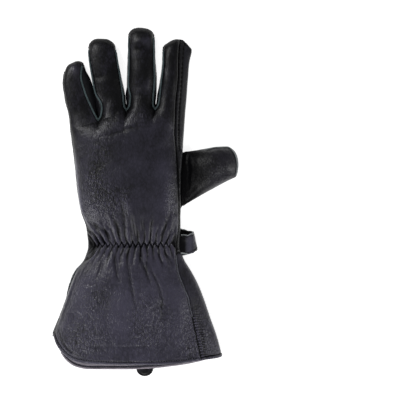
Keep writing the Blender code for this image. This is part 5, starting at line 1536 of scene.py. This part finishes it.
def build_facing(hand):
    """The lining's strip inside the palm's hem, with its row of stitches."""
    hem, above = hand["front"][[-1, -HEM_ROWS - 1], FACING_SPAN]
    run = above - hem
    run /= np.linalg.norm(run[:, :2], axis=1, keepdims=True)
    rows = []
    for deep, high, _ in FACING_PROFILE[::-1]:
        row = hem + run * deep
        row[:, 2] = np.maximum(row[:, 2] + high + (0.12 * noise(row, 2.5, 60) if deep > 0.5 else 0), 0.05)
        rows.append(row)
    top = np.stack(rows)
    low = top + run * 0.4 - (0, 0, 0.8)
    low[..., 2] = np.maximum(low[..., 2], 0.03)
    count = len(rows) * len(hem)
    _, faces = wall_faces(grid_quads(np.arange(count).reshape(len(rows), len(hem))), count)
    tone = np.repeat([shade for _, _, shade in FACING_PROFILE[::-1]], len(hem))
    make_piece("hem_facing_cloth", (np.vstack([*top, *low]), faces.tolist()), [lining],
               ("hem_facing",), tone=np.tile(tone, 2))
    line = hem + run * 2.3
    line[:, 2] += 2.1
    make_piece("hem_facing_thread", stitches(line, np.tile(UP, (len(line), 1)), 2.4, 1.6, 0.3, 0.2),
               [hem_thread])


def hem_stitches(skin, hand):
    """The row of stitches in the groove of the back's turned hem."""
    rows = hand["back"][-HEM_ROWS:, 2:-1]
    far = np.linalg.norm(rows - rows[-1], axis=2)
    line = np.array([[np.interp(-HEM_GROOVE, -far[:, k], rows[:, k, axis]) for axis in range(3)]
                     for k in range(rows.shape[1])])
    facing = facing_of(skin, line, 0.4)
    make_piece("back_hem_thread", stitches(line - facing * 0.3, facing, 2.5, 1.5, 0.3, 0.1),
               [hem_thread])


def build_stage():
    """The white paper under the glove, lit from within so that it stays white."""
    corners = [(x * FLOOR_HALF, y * FLOOR_HALF, 0) for x, y in ((-1, -1), (1, -1), (1, 1), (-1, 1))]
    mesh = make_mesh("floor", corners, [[0, 1, 2, 3]])
    look = Look("paper_floor")
    paper = look.mix(look.noise(look.place(), 40), (0.90, 0.90, 0.90), (0.93, 0.93, 0.93))
    mesh.materials.append(look.shade({
        "Base Color": paper, "Roughness": 0.9, "Specular IOR Level": 0.1,
        "Emission Color": (1.0, 1.0, 1.0, 1.0), "Emission Strength": 0.85,
    }))
    floor = add_object("floor", mesh)
    floor.location.z = -0.0003


def build_light():
    """A dim white world and the area lights."""
    world = bpy.data.worlds.new("studio")
    world.use_nodes = True
    background = world.node_tree.nodes["Background"]
    background.inputs["Color"].default_value = (1.0, 1.0, 1.0, 1)
    background.inputs["Strength"].default_value = 0.10
    bpy.context.scene.world = world
    for name, place, target, wide, high, power in LIGHTS:
        data = bpy.data.lights.new(name, "AREA")
        data.shape = "RECTANGLE"
        data.size, data.size_y, data.energy = wide, high, power
        light = add_object(name, data)
        light.location = place
        light.rotation_euler = (Vector(target) - Vector(place)).to_track_quat("-Z", "Y").to_euler()
    bpy.context.scene.view_settings.view_transform = "Standard"


def build_camera():
    """A camera straight above, off centre so that the glove lies left in the picture."""
    data = bpy.data.cameras.new("camera")
    data.sensor_width = SENSOR
    data.lens = SENSOR * (CAMERA_AT[2] - SHOWN_Z) / FIELD
    camera = add_object("camera", data)
    camera.location = CAMERA_AT
    bpy.context.scene.camera = camera


build_stage()
build_light()
build_camera()
skin, hand, seams, thumb_skin, thumb = build_panels()
build_seams(skin, hand, seams, thumb_skin, thumb)
build_strap()
build_snaps()
build_tab()
build_facing(hand)
hem_stitches(skin, hand)
